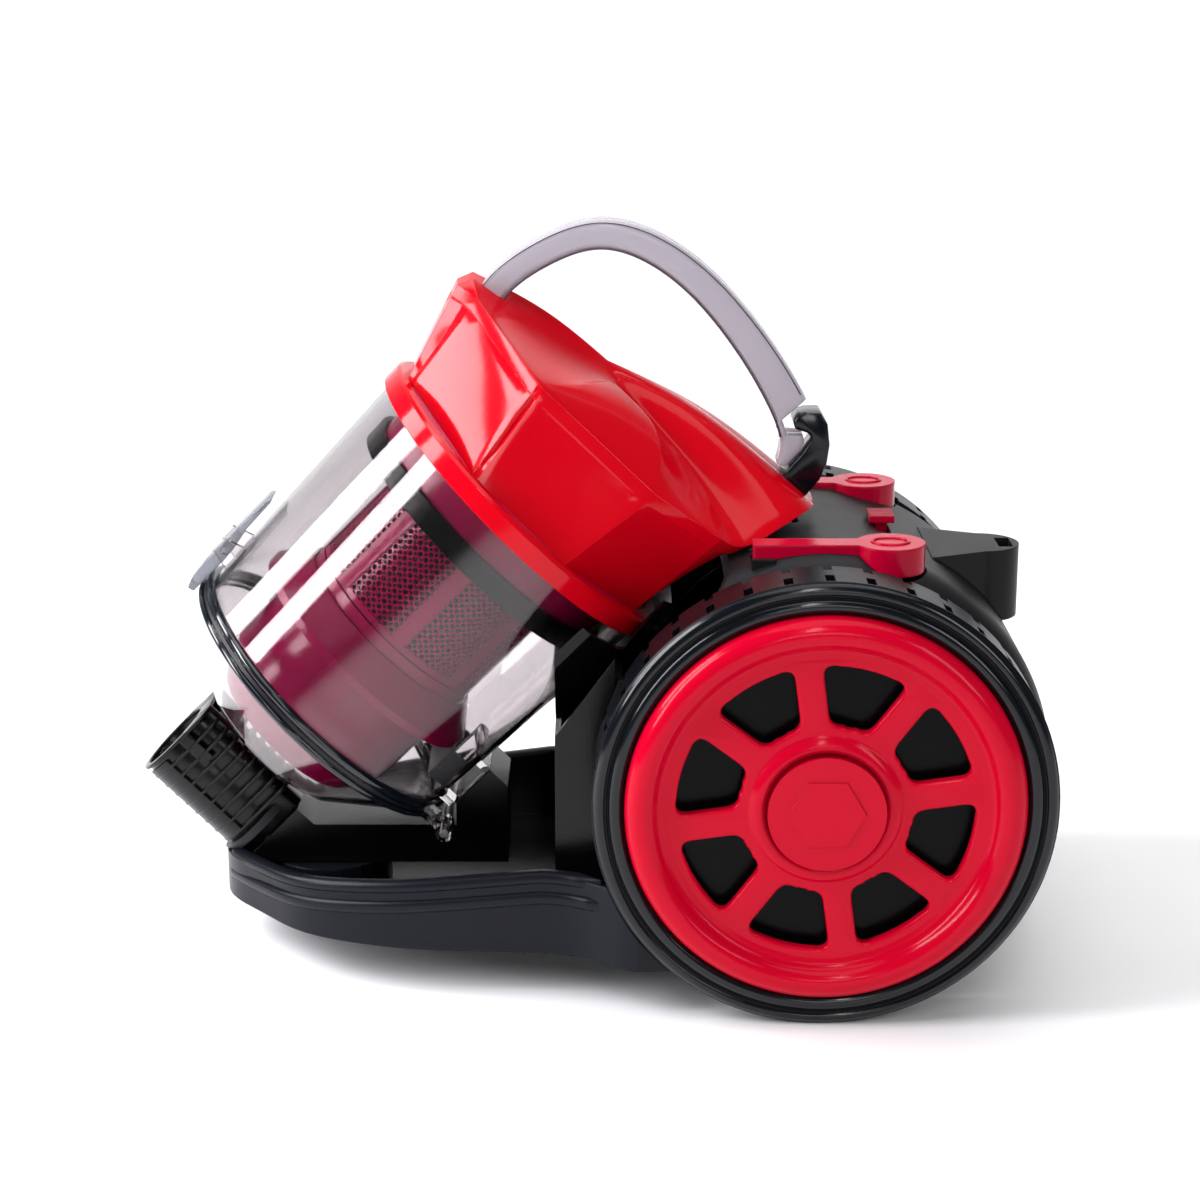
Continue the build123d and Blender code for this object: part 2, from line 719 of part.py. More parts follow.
def make_cup_shell():
    outer = [(CUP_TOP_R, -0.5), (CUP_FOOT_R, -128), (79.5, -128), (79.5, -CUP_LENGTH)]
    inner = [(74.6, -CUP_LENGTH), (74.6, -128), (CUP_TOP_R - CUP_WALL, -0.5)]
    with BuildPart() as cup:
        add(cup_turned(outer + inner).part)
        with BuildSketch(CUP.offset(-126)):
            with Locations((-76, 0)):
                Rectangle(8, 52)
        extrude(amount=28)
        with BuildSketch(CUP.offset(-131.3)):
            for side in (-1, 1):
                with Locations((-75, side * 38)):
                    Rectangle(18, 8)
        extrude(amount=3.2)
        for side in (-1, 1):
            with BuildSketch(hinge_face(side, 34)):
                Circle(HINGE_KNUCKLE_R)
            extrude(amount=8)
        with BuildSketch(hinge_face(1, -50)):
            Circle(HINGE_PIN_R + 0.05)
        extrude(amount=100, mode=Mode.SUBTRACT)
        for side in (-1, 1):
            ear = outline(CUP_SECTION.offset(side * 11.9), [(76, -119), (88, -116), (88, -108), (76, -104)])
            extrude(ear, amount=side * 3)
        with BuildSketch(CUP_SECTION.offset(-20)):
            with Locations((84, -112)):
                Circle(2.06)
        extrude(amount=40, mode=Mode.SUBTRACT)
        add(cup_cylinder(74.55, -CUP_LENGTH - 1, -100).part, mode=Mode.SUBTRACT)
        with BuildSketch(CUP.offset(-121)):
            with Locations((-76, 0)):
                Rectangle(14, 36)
        extrude(amount=18, mode=Mode.SUBTRACT)
    return cup


def make_inlet_scoop():
    """The curved deflector inside the cup, over the inlet port."""
    with BuildPart() as scoop:
        with BuildSketch(CUP.offset(-122)):
            with Locations((-67, 0)):
                Rectangle(12, 44)
            with Locations((-69, 0)):
                Rectangle(12, 40, mode=Mode.SUBTRACT)
        extrude(amount=17)
        add(cup_cylinder(74.3, -130, -90).part, mode=Mode.INTERSECT)
    return scoop


def make_cup_lid():
    floor_s = LID_FACE - LID_DEPTH
    outer = [(79.5, LID_FACE), (79.5, -136.6), (75.2, -137.4), (42.5, -168), (38, floor_s), (0, floor_s)]
    inner = [(0, -167.6), (37, -167.6), (40.8, -166), (72.6, -136.4), (74.8, LID_FACE)]
    with BuildPart() as lid:
        add(cup_turned(outer + inner).part)
        with BuildSketch(CUP.offset(-137.2)):
            for side in (-1, 1):
                with Locations((-76.5, side * 29.5)):
                    Rectangle(16, 7)
        extrude(amount=3.0)
        for side in (-1, 1):
            with BuildSketch(hinge_face(side, 26)):
                Circle(HINGE_KNUCKLE_R)
            extrude(amount=7)
        with BuildSketch(hinge_face(1, -50)):
            Circle(HINGE_PIN_R + 0.06)
        extrude(amount=100, mode=Mode.SUBTRACT)
        add(cup_cylinder(74.8, LID_FACE - 0.5, LID_FACE + 6).part, mode=Mode.SUBTRACT)
    return lid


def make_lid_hinge_pin():
    with BuildPart() as pin:
        with BuildSketch(hinge_face(1, -43)):
            Circle(HINGE_PIN_R)
        extrude(amount=86)
    return pin


def make_lid_latch():
    lever = [(80.6, -142), (86, -143.5), (87, -112), (86.8, -80), (84.6, -79.5), (83.6, -98), (80.6, -112)]
    with BuildPart() as latch:
        extrude(outline(CUP_SECTION, lever), amount=11.5, both=True)
        with BuildSketch(CUP_SECTION.offset(-14.8)):
            with Locations((84, -112)):
                Circle(2.0)
        extrude(amount=29.6)
    return latch


# ---------------------------------------------------------------- head, handle and separator


HEAD_PROFILE = [(-83, 279), (-61, 328.5), (10, 288), (110.6, 213.8)]
HEAD_PROFILE += [(98, 213.3), (82, 209.9), (68, 204.6), (30.5, 167.2)]
HEAD_EAVES_S = 60
HEAD_FOOT_RING = [(79.5, 13), (76.5, 18), (33.6, 72), (-25, 75.5), (-70, 40), (-80.5, 8)]
HEAD_EAVES_RING = [(95.5, 13), (83.5, 22.5), (40.5, 61.5), (-34, 61.5), (-72, 58.5), (-112, 30)]
HEAD_RIDGE_RING = [(94, 9), (78, 6), (30, 3), (-20, 4), (-62, 14), (-112, 16)]
HEAD_RIDGE_S, HEAD_RIDGE_SLOPE = 83.0, 0.187


def head_ring(half_ring, inset):
    """A symmetrical closed ring of corners, drawn in by the inset."""
    drawn = [(t * (1 - inset / 80), y * (1 - inset / 60)) for t, y in half_ring]
    return drawn + [(t, -y) for t, y in reversed(drawn)]


def head_block(inset, low):
    """The head's side facets, from the collar up to the eaves."""
    with BuildPart() as block:
        for height, half_ring in ((low, HEAD_FOOT_RING), (HEAD_EAVES_S, HEAD_EAVES_RING)):
            with BuildSketch(CUP.offset(height)):
                with BuildLine():
                    Polyline(*head_ring(half_ring, inset), close=True)
                make_face()
        loft(ruled=True)
    return block


def head_roof(inset):
    """The roof: from the eaves up to a ridge that rises towards the tail."""
    slope = atan(HEAD_RIDGE_SLOPE)
    along = CUP.from_local_coords((cos(slope), 0, -sin(slope))) - CUP.origin
    upward = CUP.from_local_coords((sin(slope), 0, cos(slope))) - CUP.origin
    tilted = Plane(CUP.from_local_coords((0, 0, HEAD_RIDGE_S)), x_dir=along, z_dir=upward)
    with BuildPart() as roof:
        with BuildSketch(CUP.offset(HEAD_EAVES_S)):
            with BuildLine():
                Polyline(*head_ring(HEAD_EAVES_RING, inset), close=True)
            make_face()
        with BuildSketch(tilted):
            with BuildLine():
                Polyline(*head_ring(HEAD_RIDGE_RING, inset), close=True)
            make_face()
        loft(ruled=True)
    return roof


def head_form(inset):
    with BuildPart() as form:
        add(head_block(inset, COLLAR_TOP - (1 if inset else 0)).part)
        add(head_roof(inset).part)
        with BuildSketch(SIDE):
            with BuildLine():
                Polyline(*HEAD_PROFILE, close=True)
            make_face()
            offset(amount=-inset, kind=Kind.INTERSECTION)
            if inset:
                with BuildLine():
                    Polyline((-79, 275), (-79, 282), (26, 176), (26.5, 163.2), close=True)
                make_face()
        extrude(amount=90, both=True, mode=Mode.INTERSECT)
    return form


def make_head_cover():
    with BuildPart() as head:
        add(head_form(0).part)
        add(head_form(2.6).part, mode=Mode.SUBTRACT)
        with Locations((88, 0, 209)):
            Box(28, 30, 14, mode=Mode.SUBTRACT)
    return head


BUTTON_OUTLINE = [(99, 257), (104, 262), (112, 262.5), (115.4, 256), (115.6, 246), (112, 233)]
BUTTON_OUTLINE += [(104.5, 222.5), (98.5, 226), (102, 237), (107, 246), (107.5, 253), (100, 254.5)]
BUTTON_HALF_WIDTH, BUTTON_ROOM_HALF_WIDTH = 10.3, 11.2


def handle_band(margin):
    """The handle in side elevation: its centre line thickened, deeper towards its rear foot."""
    centre = [(-53, 305), (-42, 321.5), (-20, 338), (7, 346.5), (40, 335)]
    centre += [(71, 305), (94, 270), (102, 247), (93, 217)]
    with BuildLine() as path:
        Spline(*centre)
    outer, inner = [], []
    steps = 14
    for step in range(steps + 1):
        along = (margin / 300) + (1 - margin / 150) * step / steps
        half_depth = 6.4 + 4.2 * along**2 - margin
        point, heading = path.line @ along, path.line % along
        normal = Vector(-heading.Y, heading.X) * half_depth
        outer.append(((point + normal).X, (point + normal).Y))
        inner.append(((point - normal).X, (point - normal).Y))
    with BuildSketch(SIDE) as band:
        with BuildLine():
            Spline(*outer)
            Line(outer[-1], inner[-1])
            Spline(*reversed(inner))
            Line(inner[0], outer[0])
        make_face()
    return band.sketch


def make_handle_half(side, head, button_room):
    half_width, wall = 10.5, 2.4
    with BuildPart() as half:
        extrude(handle_band(0), amount=-side * half_width)
        extrude(handle_band(wall), amount=-side * (half_width - wall), mode=Mode.SUBTRACT)
        add(head, mode=Mode.SUBTRACT)
        add(button_room, mode=Mode.SUBTRACT)
        with Locations((100, 0, 205)):
            Box(30, 30, 22, mode=Mode.SUBTRACT)
        with Locations((108, 0, 219)):
            Box(14.6, 30, 13, mode=Mode.SUBTRACT)
    return half


def make_button_room():
    with BuildPart() as room:
        with BuildSketch(SIDE):
            add(outline(SIDE, BUTTON_OUTLINE))
            offset(amount=3.2, kind=Kind.INTERSECTION)
        extrude(amount=BUTTON_ROOM_HALF_WIDTH, both=True)
    return room


def make_separator_cage():
    wall_r = CAGE_R - 2.2
    cage = [(wall_r, -80), (CAGE_R, -80), (CAGE_R, -17.6), (70.8, -17.6), (70.8, -15.4), (wall_r, -15.4)]
    with BuildPart() as body:
        add(cup_turned(cage).part)
        with BuildSketch(CUP.offset(-75)):
            with PolarLocations(CAGE_R, 8):
                Rectangle(12, 30)
        extrude(amount=50, mode=Mode.SUBTRACT)
    return body


def make_filter_cartridge():
    pleats = 28
    rim = []
    for k in range(pleats):
        rim.append((43 * cos(tau * k / pleats), 43 * sin(tau * k / pleats)))
        rim.append((36 * cos(tau * (k + 0.5) / pleats), 36 * sin(tau * (k + 0.5) / pleats)))
    with BuildPart() as cartridge:
        with BuildSketch(CUP.offset(-76)):
            with BuildLine():
                Polyline(*rim, close=True)
            make_face()
            Circle(33, mode=Mode.SUBTRACT)
        extrude(amount=56)
    return cartridge


def build_wheels():
    for side, word in ((-1, "left"), (1, "right")):
        save(f"tyre_{word}", make_tyre(side))
        save(f"wheel_disc_{word}", make_wheel_disc(side))
        save(f"wheel_trim_{word}", make_wheel_trim(side))
        save(f"hub_cap_{word}", make_hub_cap(side))
    save("axle_pins", make_axle_pins())
    save("castor_fork", make_castor_fork())
    save("castor_wheel", make_castor_wheel())
    save("castor_pin", make_castor_pin())


def build_chassis():
    save("base_tray", make_tray())
    save("inlet_duct", make_inlet_duct())
    save("port_seal", make_port_seal())
    save("hose_inlet", make_hose_inlet())
    save("inlet_seal", make_inlet_seal())
    save("motor_housing", make_motor_housing())
    save("cup_cradle", make_cup_cradle())
    save("park_bracket", make_park_bracket())
    save("exhaust_grille", make_exhaust_grille())
    save("exhaust_filter", make_exhaust_filter())
    save("cord_outlet", make_cord_outlet())
    save("housing_screws", make_housing_screws())


def build_controls():
    for side, word in ((-1, "power"), (1, "rewind")):
        save(f"{word}_pedal", make_pedal(side))
        save(f"{word}_pedal_spring", make_pedal_spring(side))
    save("suction_slider", make_slider())
    save("power_switch", make_power_switch())
    save("control_board", make_control_board())


def build_motor_and_reel():
    save("fan_cover", make_fan_cover())
    save("motor_can", make_motor_can())
    save("motor_bearings", make_motor_bearings())
    save("carbon_brushes", make_carbon_brushes())
    save("motor_mounts", make_motor_mounts())
    save("motor_shaft", make_motor_shaft())
    save("armature", make_armature())
    save("impeller", make_impeller())
    save("reel_drum", make_reel_drum())
    save("reel_spindle", make_reel_spindle())
    save("reel_spring_case", make_reel_spring_case())


def build_cup():
    collar = [(79, 0), (COLLAR_R, 0), (COLLAR_R, 8.6), (85, COLLAR_TOP), (79, COLLAR_TOP)]
    seal = [(75, -133.8), (79.2, -133.8), (79.2, -131.9), (75, -131.9)]
    save("cup_shell", make_cup_shell())
    save("cup_collar", cup_turned(collar))
    save("inlet_scoop", make_inlet_scoop())
    save("cup_lid", make_cup_lid())
    save("lid_seal", cup_turned(seal))
    save("lid_hinge_pin", make_lid_hinge_pin())
    save("lid_latch", make_lid_latch())


def build_head():
    head_solid = head_form(0).part
    button_room = make_button_room().part
    top_band = [(66, -15.2), (70, -15.2), (70, 5.6), (78.4, 5.6), (78.4, 9.7), (66, 9.7)]
    plate = [(50.2, -26), (73, -26), (73.4, -15.4), (71, -15.4), (71, -23.6), (50.2, -23.6)]
    skirt = [(50.3, -86), (52, -86), (SKIRT_R, -100), (SKIRT_R, -104)]
    skirt += [(62.2, -104), (62.2, -100.6), (50.3, -88.4)]
    cone = [(0, -158), (42, -158), (CAGE_R, -140), (CAGE_R, -80.2), (47.8, -80.2), (47.8, -139.5)]
    cone += [(40.6, -155.8), (0, -155.8)]
    save("head_cover", make_head_cover())
    save("handle_left", make_handle_half(-1, head_solid, button_room))
    save("handle_right", make_handle_half(1, head_solid, button_room))
    save("release_button", side_plate(BUTTON_OUTLINE, BUTTON_HALF_WIDTH))
    save("separator_band", cup_turned(top_band))
    save("separator_plate", cup_turned(plate))
    save("separator_cage", make_separator_cage())
    save("cage_screen", cup_turned([(46.6, -80), (47.4, -80), (47.4, -16), (46.6, -16)]))
    save("separator_skirt", cup_turned(skirt))
    save("separator_cone", cup_turned(cone))
    save("filter_cartridge", make_filter_cartridge())


build_wheels()
build_chassis()
build_controls()
build_motor_and_reel()
build_cup()
build_head()
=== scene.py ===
"""Looks of the bagless cylinder vacuum cleaner.

Lengths are in metres. Outlines, profiles and the sizes that are multiplied by MM are in millimetres.
+Z is up, the machine's front faces -X and its near side faces -Y.
"""

import math

import bmesh
import bpy
import json
import numpy as np
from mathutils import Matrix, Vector


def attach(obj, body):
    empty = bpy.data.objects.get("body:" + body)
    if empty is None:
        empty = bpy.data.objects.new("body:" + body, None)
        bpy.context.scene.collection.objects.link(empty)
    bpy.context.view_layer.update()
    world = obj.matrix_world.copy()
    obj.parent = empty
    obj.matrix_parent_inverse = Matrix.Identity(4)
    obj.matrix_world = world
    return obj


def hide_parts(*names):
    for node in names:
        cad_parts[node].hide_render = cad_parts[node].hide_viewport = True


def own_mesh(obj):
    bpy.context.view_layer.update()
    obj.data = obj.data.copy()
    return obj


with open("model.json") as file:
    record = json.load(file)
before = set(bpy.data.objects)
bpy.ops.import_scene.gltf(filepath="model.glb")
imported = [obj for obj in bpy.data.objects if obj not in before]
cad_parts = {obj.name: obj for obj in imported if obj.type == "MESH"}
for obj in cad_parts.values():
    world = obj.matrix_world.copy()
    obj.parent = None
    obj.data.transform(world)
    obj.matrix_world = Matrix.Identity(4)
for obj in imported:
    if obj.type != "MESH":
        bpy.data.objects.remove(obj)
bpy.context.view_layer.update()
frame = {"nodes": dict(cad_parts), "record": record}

MM = 0.001
TAU = 2 * math.pi
ROOT_HALF = math.sqrt(0.5)
WHEEL_X, WHEEL_Z = 0.108, 0.105
CUP_X, CUP_Z = -0.0336, 0.2163
PEDAL_X, PEDAL_Y, PEDAL_TOP_Z = 0.140, 0.063, 0.2133
PEDAL_SPRING_FOOT_Z = 0.1862
CAMERA_PLACE, CAMERA_TILT_DEG, CAMERA_LENS_MM = (0.007, -1.185, 0.501), 74.3, 75.9
WORLD_STRENGTH = 0.13


def cup_point(t, y, s):
    """A point given in the tilted cup's own directions: t forward, y to the far side, s along the axis."""
    x = CUP_X + ROOT_HALF * (s - t) * MM
    z = CUP_Z + ROOT_HALF * (s + t) * MM
    return Vector((x, y * MM, z))


# ---------------------------------------------------------------- materials


def node(tree, kind, **values):
    made = tree.nodes.new(kind)
    for key, value in values.items():
        if hasattr(made, key):
            setattr(made, key, value)
        else:
            made.inputs[key.replace("_", " ")].default_value = value
    return made


def surface(name, colour, roughness, mottle=0.06, rough_spread=0.04, grain=0.0, grain_scale=900.0,
            edge=0.0004, coat=0.0, metallic=0.0, ior=1.5, clear=0.0, sheen=0.0, shine=0.35,
            stretch=(1, 1, 1)):
    """A moulded or machined surface: slight mottling, worn-in roughness, fine grain and softened edges."""
    material = bpy.data.materials.new(name)
    material.use_nodes = True
    tree = material.node_tree
    shader = tree.nodes["Principled BSDF"]
    where = node(tree, "ShaderNodeTexCoord")
    stretched = node(tree, "ShaderNodeMapping")
    stretched.inputs["Scale"].default_value = stretch
    tree.links.new(where.outputs["Object"], stretched.inputs["Vector"])

    clouds = node(tree, "ShaderNodeTexNoise", Scale=22.0, Detail=3.0)
    tree.links.new(stretched.outputs["Vector"], clouds.inputs["Vector"])
    tint = node(tree, "ShaderNodeMix", data_type="RGBA")
    tint.inputs["A"].default_value = (*[c * (1 - mottle) for c in colour], 1)
    tint.inputs["B"].default_value = (*[min(1, c * (1 + mottle) + 0.004 * mottle) for c in colour], 1)
    tree.links.new(clouds.outputs["Fac"], tint.inputs["Factor"])
    tree.links.new(tint.outputs["Result"], shader.inputs["Base Color"])

    wear = node(tree, "ShaderNodeTexNoise", Scale=60.0, Detail=5.0)
    tree.links.new(stretched.outputs["Vector"], wear.inputs["Vector"])
    spread = node(tree, "ShaderNodeMapRange")
    spread.inputs["To Min"].default_value = max(0.02, roughness - rough_spread)
    spread.inputs["To Max"].default_value = roughness + rough_spread
    tree.links.new(wear.outputs["Fac"], spread.inputs["Value"])
    tree.links.new(spread.outputs["Result"], shader.inputs["Roughness"])

    last_normal = None
    if edge:
        rounded = node(tree, "ShaderNodeBevel", samples=4, Radius=edge)
        last_normal = rounded.outputs["Normal"]
    if grain:
        fine = node(tree, "ShaderNodeTexNoise", Scale=grain_scale, Detail=2.0)
        tree.links.new(stretched.outputs["Vector"], fine.inputs["Vector"])
        bump = node(tree, "ShaderNodeBump", Strength=grain, Distance=0.0003)
        tree.links.new(fine.outputs["Fac"], bump.inputs["Height"])
        if last_normal:
            tree.links.new(last_normal, bump.inputs["Normal"])
        last_normal = bump.outputs["Normal"]
    if last_normal:
        tree.links.new(last_normal, shader.inputs["Normal"])

    shader.inputs["Metallic"].default_value = metallic
    shader.inputs["IOR"].default_value = ior
    shader.inputs["Specular IOR Level"].default_value = shine
    shader.inputs["Coat Weight"].default_value = coat
    shader.inputs["Coat Roughness"].default_value = 0.03
    shader.inputs["Transmission Weight"].default_value = clear
    shader.inputs["Sheen Weight"].default_value = sheen
    return material


RED = surface("gloss_red", (0.58, 0.0003, 0.008), 0.10, grain=0.05, grain_scale=260, edge=0.0006,
              shine=0.22)
WHEEL_RED = surface("wheel_red", (0.50, 0.0003, 0.017), 0.13, grain=0.05, grain_scale=260, edge=0.0008,
                    shine=0.12)
PEDAL_RED = surface("pedal_red", (0.44, 0.0004, 0.024), 0.15, grain=0.05, grain_scale=300, edge=0.0015,
                    shine=0.15)
BURGUNDY = surface("burgundy", (0.44, 0.002, 0.085), 0.2, coat=0.1, grain=0.05, grain_scale=260)
WHEEL_BLACK = surface("wheel_black", (0.002, 0.003, 0.005), 0.13, grain=0.06, grain_scale=300, edge=0.0008)
DISC_BLACK = surface("disc_black", (0.0012, 0.0015, 0.002), 0.22, grain=0.06, grain_scale=300, shine=0.08)
TREAD = surface("tread_black", (0.003, 0.0035, 0.005), 0.3, grain=0.25, grain_scale=700, shine=0.12)
HOUSING = surface("housing_grey", (0.0065, 0.0065, 0.0075), 0.40, grain=0.35, grain_scale=1500, edge=0.001,
                  shine=0.15)
TRAY = surface("tray_grey", (0.0055, 0.0065, 0.010), 0.30, grain=0.2, grain_scale=1500, edge=0.0012,
               shine=0.15)
INNER = surface("inner_black", (0.0018, 0.0018, 0.0022), 0.25, grain=0.12, grain_scale=900, shine=0.25)
RUBBER = surface("seal_rubber", (0.006, 0.007, 0.009), 0.4, grain=0.2, grain_scale=800, shine=0.3)
SEAM_DARK = surface("seam_dark", (0.004, 0.006, 0.010), 0.08, edge=0, shine=0.6)
STEEL = surface("steel", (0.56, 0.57, 0.59), 0.3, metallic=1.0, grain=0.2, grain_scale=500,
                stretch=(1, 1, 12))
ALUMINIUM = surface("aluminium", (0.78, 0.79, 0.8), 0.36, metallic=1.0, grain=0.2, grain_scale=500)
COPPER = surface("copper", (0.75, 0.36, 0.2), 0.35, metallic=1.0, grain=0.4, grain_scale=900,
                 stretch=(8, 1, 1))
CARBON = surface("carbon", (0.02, 0.02, 0.02), 0.6, grain=0.3)
PAPER = surface("filter_paper", (0.8, 0.8, 0.74), 0.85, mottle=0.08, grain=0.5, grain_scale=2500)
FELT = surface("filter_felt", (0.78, 0.78, 0.75), 0.95, mottle=0.1, grain=0.9, grain_scale=3500, sheen=0.4)
BOARD = surface("board_green", (0.02, 0.16, 0.06), 0.4, grain=0.2)
GREY = surface("grey_plastic", (0.20, 0.24, 0.24), 0.35, grain=0.2)
CLEAR = surface("smoky_clear", (0.72, 0.69, 0.70), 0.03, mottle=0.02, rough_spread=0.01, edge=0, clear=1.0,
                ior=1.45, shine=0.5)
LATCH_CLEAR = surface("latch_clear", (0.30, 0.31, 0.35), 0.12, mottle=0.04, clear=0.7, ior=1.4, shine=0.5)
HANDLE = surface("handle_clear", (0.60, 0.57, 0.63), 0.14, mottle=0.03, edge=0.0008, clear=0.45, ior=1.3,
                 shine=0.5)
# painted shade: a dark material for the lines along the clear handle's edges
HANDLE_EDGE_SHADE = surface("handle_edge_shade", (0.06, 0.045, 0.06), 0.25, edge=0)
SCREEN = surface("cage_screen", (0.020, 0.001, 0.007), 0.5, mottle=0.2, grain=0.4)

SLOT_MATERIALS = {
    "red_gloss": RED, "pedal_red": PEDAL_RED, "wheel_black": WHEEL_BLACK, "tread_black": TREAD,
    "housing_grey": HOUSING, "tray_grey": TRAY, "inner_black": INNER, "smoky_clear": CLEAR,
    "handle_clear": HANDLE, "burgundy": BURGUNDY, "seal_rubber": RUBBER, "steel": STEEL,
    "aluminium": ALUMINIUM, "copper": COPPER, "carbon": CARBON, "filter_paper": PAPER,
    "filter_felt": FELT, "board_green": BOARD, "grey_plastic": GREY,
}
NODE_MATERIALS = {"lid_latch": LATCH_CLEAR, "cage_screen": SCREEN}
for side_word in ("left", "right"):
    NODE_MATERIALS[f"wheel_disc_{side_word}"] = DISC_BLACK
    NODE_MATERIALS[f"wheel_trim_{side_word}"] = WHEEL_RED
    NODE_MATERIALS[f"hub_cap_{side_word}"] = WHEEL_RED


def dress_cad_nodes():
    """Gives every CAD node its slot's material, or its own where it has one."""
    slots = {part["node"]: part["material_slot"] for part in frame["record"]["subparts"]}
    for name, thing in frame["nodes"].items():
        material = SLOT_MATERIALS[slots[name]]
        material = NODE_MATERIALS.get(name, material)
        thing.data.materials.clear()
        thing.data.materials.append(material)


# ---------------------------------------------------------------- mesh helpers


def piece(name, mesh, material, body, replaces=()):
    """Puts a finished bmesh into the scene on its body."""
    bmesh.ops.remove_doubles(mesh, verts=mesh.verts, dist=0.02 * MM)
    bmesh.ops.recalc_face_normals(mesh, faces=mesh.faces)
    data = bpy.data.meshes.new(name)
    mesh.to_mesh(data)
    mesh.free()
    thing = bpy.data.objects.new(name, data)
    bpy.context.scene.collection.objects.link(thing)
    data.materials.append(material)
    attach(thing, body)
    if replaces:
        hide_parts(*replaces)
    return thing


def soften(thing, width_mm, segments=3, angle=24):
    """Rounds the hard edges and shades the rest smoothly."""
    bevel = thing.modifiers.new("edges", "BEVEL")
    bevel.width = width_mm * MM
    bevel.segments = segments
    bevel.limit_method = "ANGLE"
    bevel.angle_limit = math.radians(angle)
    shade_smooth(thing)
    return thing


def shade_smooth(thing):
    for face in thing.data.polygons:
        face.use_smooth = True


def skin(mesh, rings, closed, filled_ends=True):
    """Joins rings of vertices into a tube, as a loop or with two ends."""
    pairs = list(zip(rings, rings[1:]))
    if closed:
        pairs.append((rings[-1], rings[0]))
    for here, there in pairs:
        for i in range(len(here)):
            j = (i + 1) % len(here)
            mesh.faces.new([here[i], here[j], there[j], there[i]])
    if filled_ends and not closed:
        mesh.faces.new(rings[0])
        mesh.faces.new(rings[-1])


def small_circle(mesh, middle, out, up, radius_mm, sides):
    """Vertices round a point, in the plane of two directions."""
    ring = []
    for k in range(sides):
        angle = TAU * k / sides
        reach = (out * math.cos(angle) + up * math.sin(angle)) * (radius_mm * MM)
        ring.append(mesh.verts.new(middle + reach))
    return ring


def straight(a, b, count):
    return [a.lerp(b, k / count) for k in range(count + 1)]


def smooth(points, count):
    """count + 1 evenly spaced points on the natural cubic spline through the given ones."""
    given = np.array(points, float)
    knots = np.concatenate([[0], np.cumsum(np.linalg.norm(np.diff(given, axis=0), axis=1))])
    gaps, n = np.diff(knots), len(given)
    system, target = np.eye(n), np.zeros((n, 3))
    for k in range(1, n - 1):
        system[k, k - 1:k + 2] = gaps[k - 1], 2 * (gaps[k - 1] + gaps[k]), gaps[k]
        rise, next_rise = given[k] - given[k - 1], given[k + 1] - given[k]
        target[k] = 6 * (next_rise / gaps[k] - rise / gaps[k - 1])
    bend = np.linalg.solve(system, target)
    made = []
    for where in np.linspace(0, knots[-1], count + 1):
        k = min(int(np.searchsorted(knots, where, "right")) - 1, n - 2)
        a, b, gap = knots[k + 1] - where, where - knots[k], gaps[k]
        cubic = bend[k] * (a ** 3 / gap - gap * a) / 6 + bend[k + 1] * (b ** 3 / gap - gap * b) / 6
        made.append(Vector(given[k] * a / gap + given[k + 1] * b / gap + cubic))
    return made


def patch(mesh, low, east, high, west, swell=0.0, inside=None, seam_rows=()):
    """A smooth patch between four rows of points; low and high run west to east, west and east run upwards.

    swell pushes its middle away from inside by that many millimetres.
    seam_rows are pressed in as a fine groove.
    """
    groove_depth = 0.8
    corners = low[0], low[-1], high[0], high[-1]
    facing = (corners[1] - corners[2]).cross(corners[3] - corners[0]).normalized()
    if inside is not None and facing.dot((corners[0] + corners[3]) / 2 - inside) < 0:
        facing = -facing
    columns, levels = len(low) - 1, len(west) - 1
    rows = []
    for j in range(levels + 1):
        v = j / levels
        row = []
        for i in range(columns + 1):
            u = i / columns
            ruled = low[i].lerp(high[i], v) + west[j].lerp(east[j], u)
            flat = corners[0].lerp(corners[1], u).lerp(corners[2].lerp(corners[3], u), v)
            lift = swell * 16 * u * (1 - u) * v * (1 - v)
            if j in seam_rows and 0 < i < columns:
                lift -= groove_depth
            row.append(mesh.verts.new(ruled - flat + facing * (lift * MM)))
        rows.append(row)
    for j in range(levels):
        for i in range(columns):
            mesh.faces.new([rows[j][i], rows[j][i + 1], rows[j + 1][i + 1], rows[j + 1][i]])


def cup_turned(mesh, profile, segments=128, start=0.0, sweep=TAU):
    """Turns a profile of (radius, s) points about the cup's axis."""
    closed = abs(sweep - TAU) < 1e-6
    rings = []
    for k in range(segments if closed else segments + 1):
        angle = start + sweep * k / segments
        across, forward = math.sin(angle), math.cos(angle)
        rings.append([mesh.verts.new(cup_point(r * forward, r * across, s)) for r, s in profile])
    skin(mesh, rings, closed, filled_ends=False)


def mirror_to_far_side(mesh):
    """Adds the far side's copy of everything in the mesh."""
    copied = bmesh.ops.duplicate(mesh, geom=mesh.verts[:] + mesh.faces[:])["geom"]
    for part in copied:
        if isinstance(part, bmesh.types.BMVert):
            part.co.y = -part.co.y


# ---------------------------------------------------------------- head cover


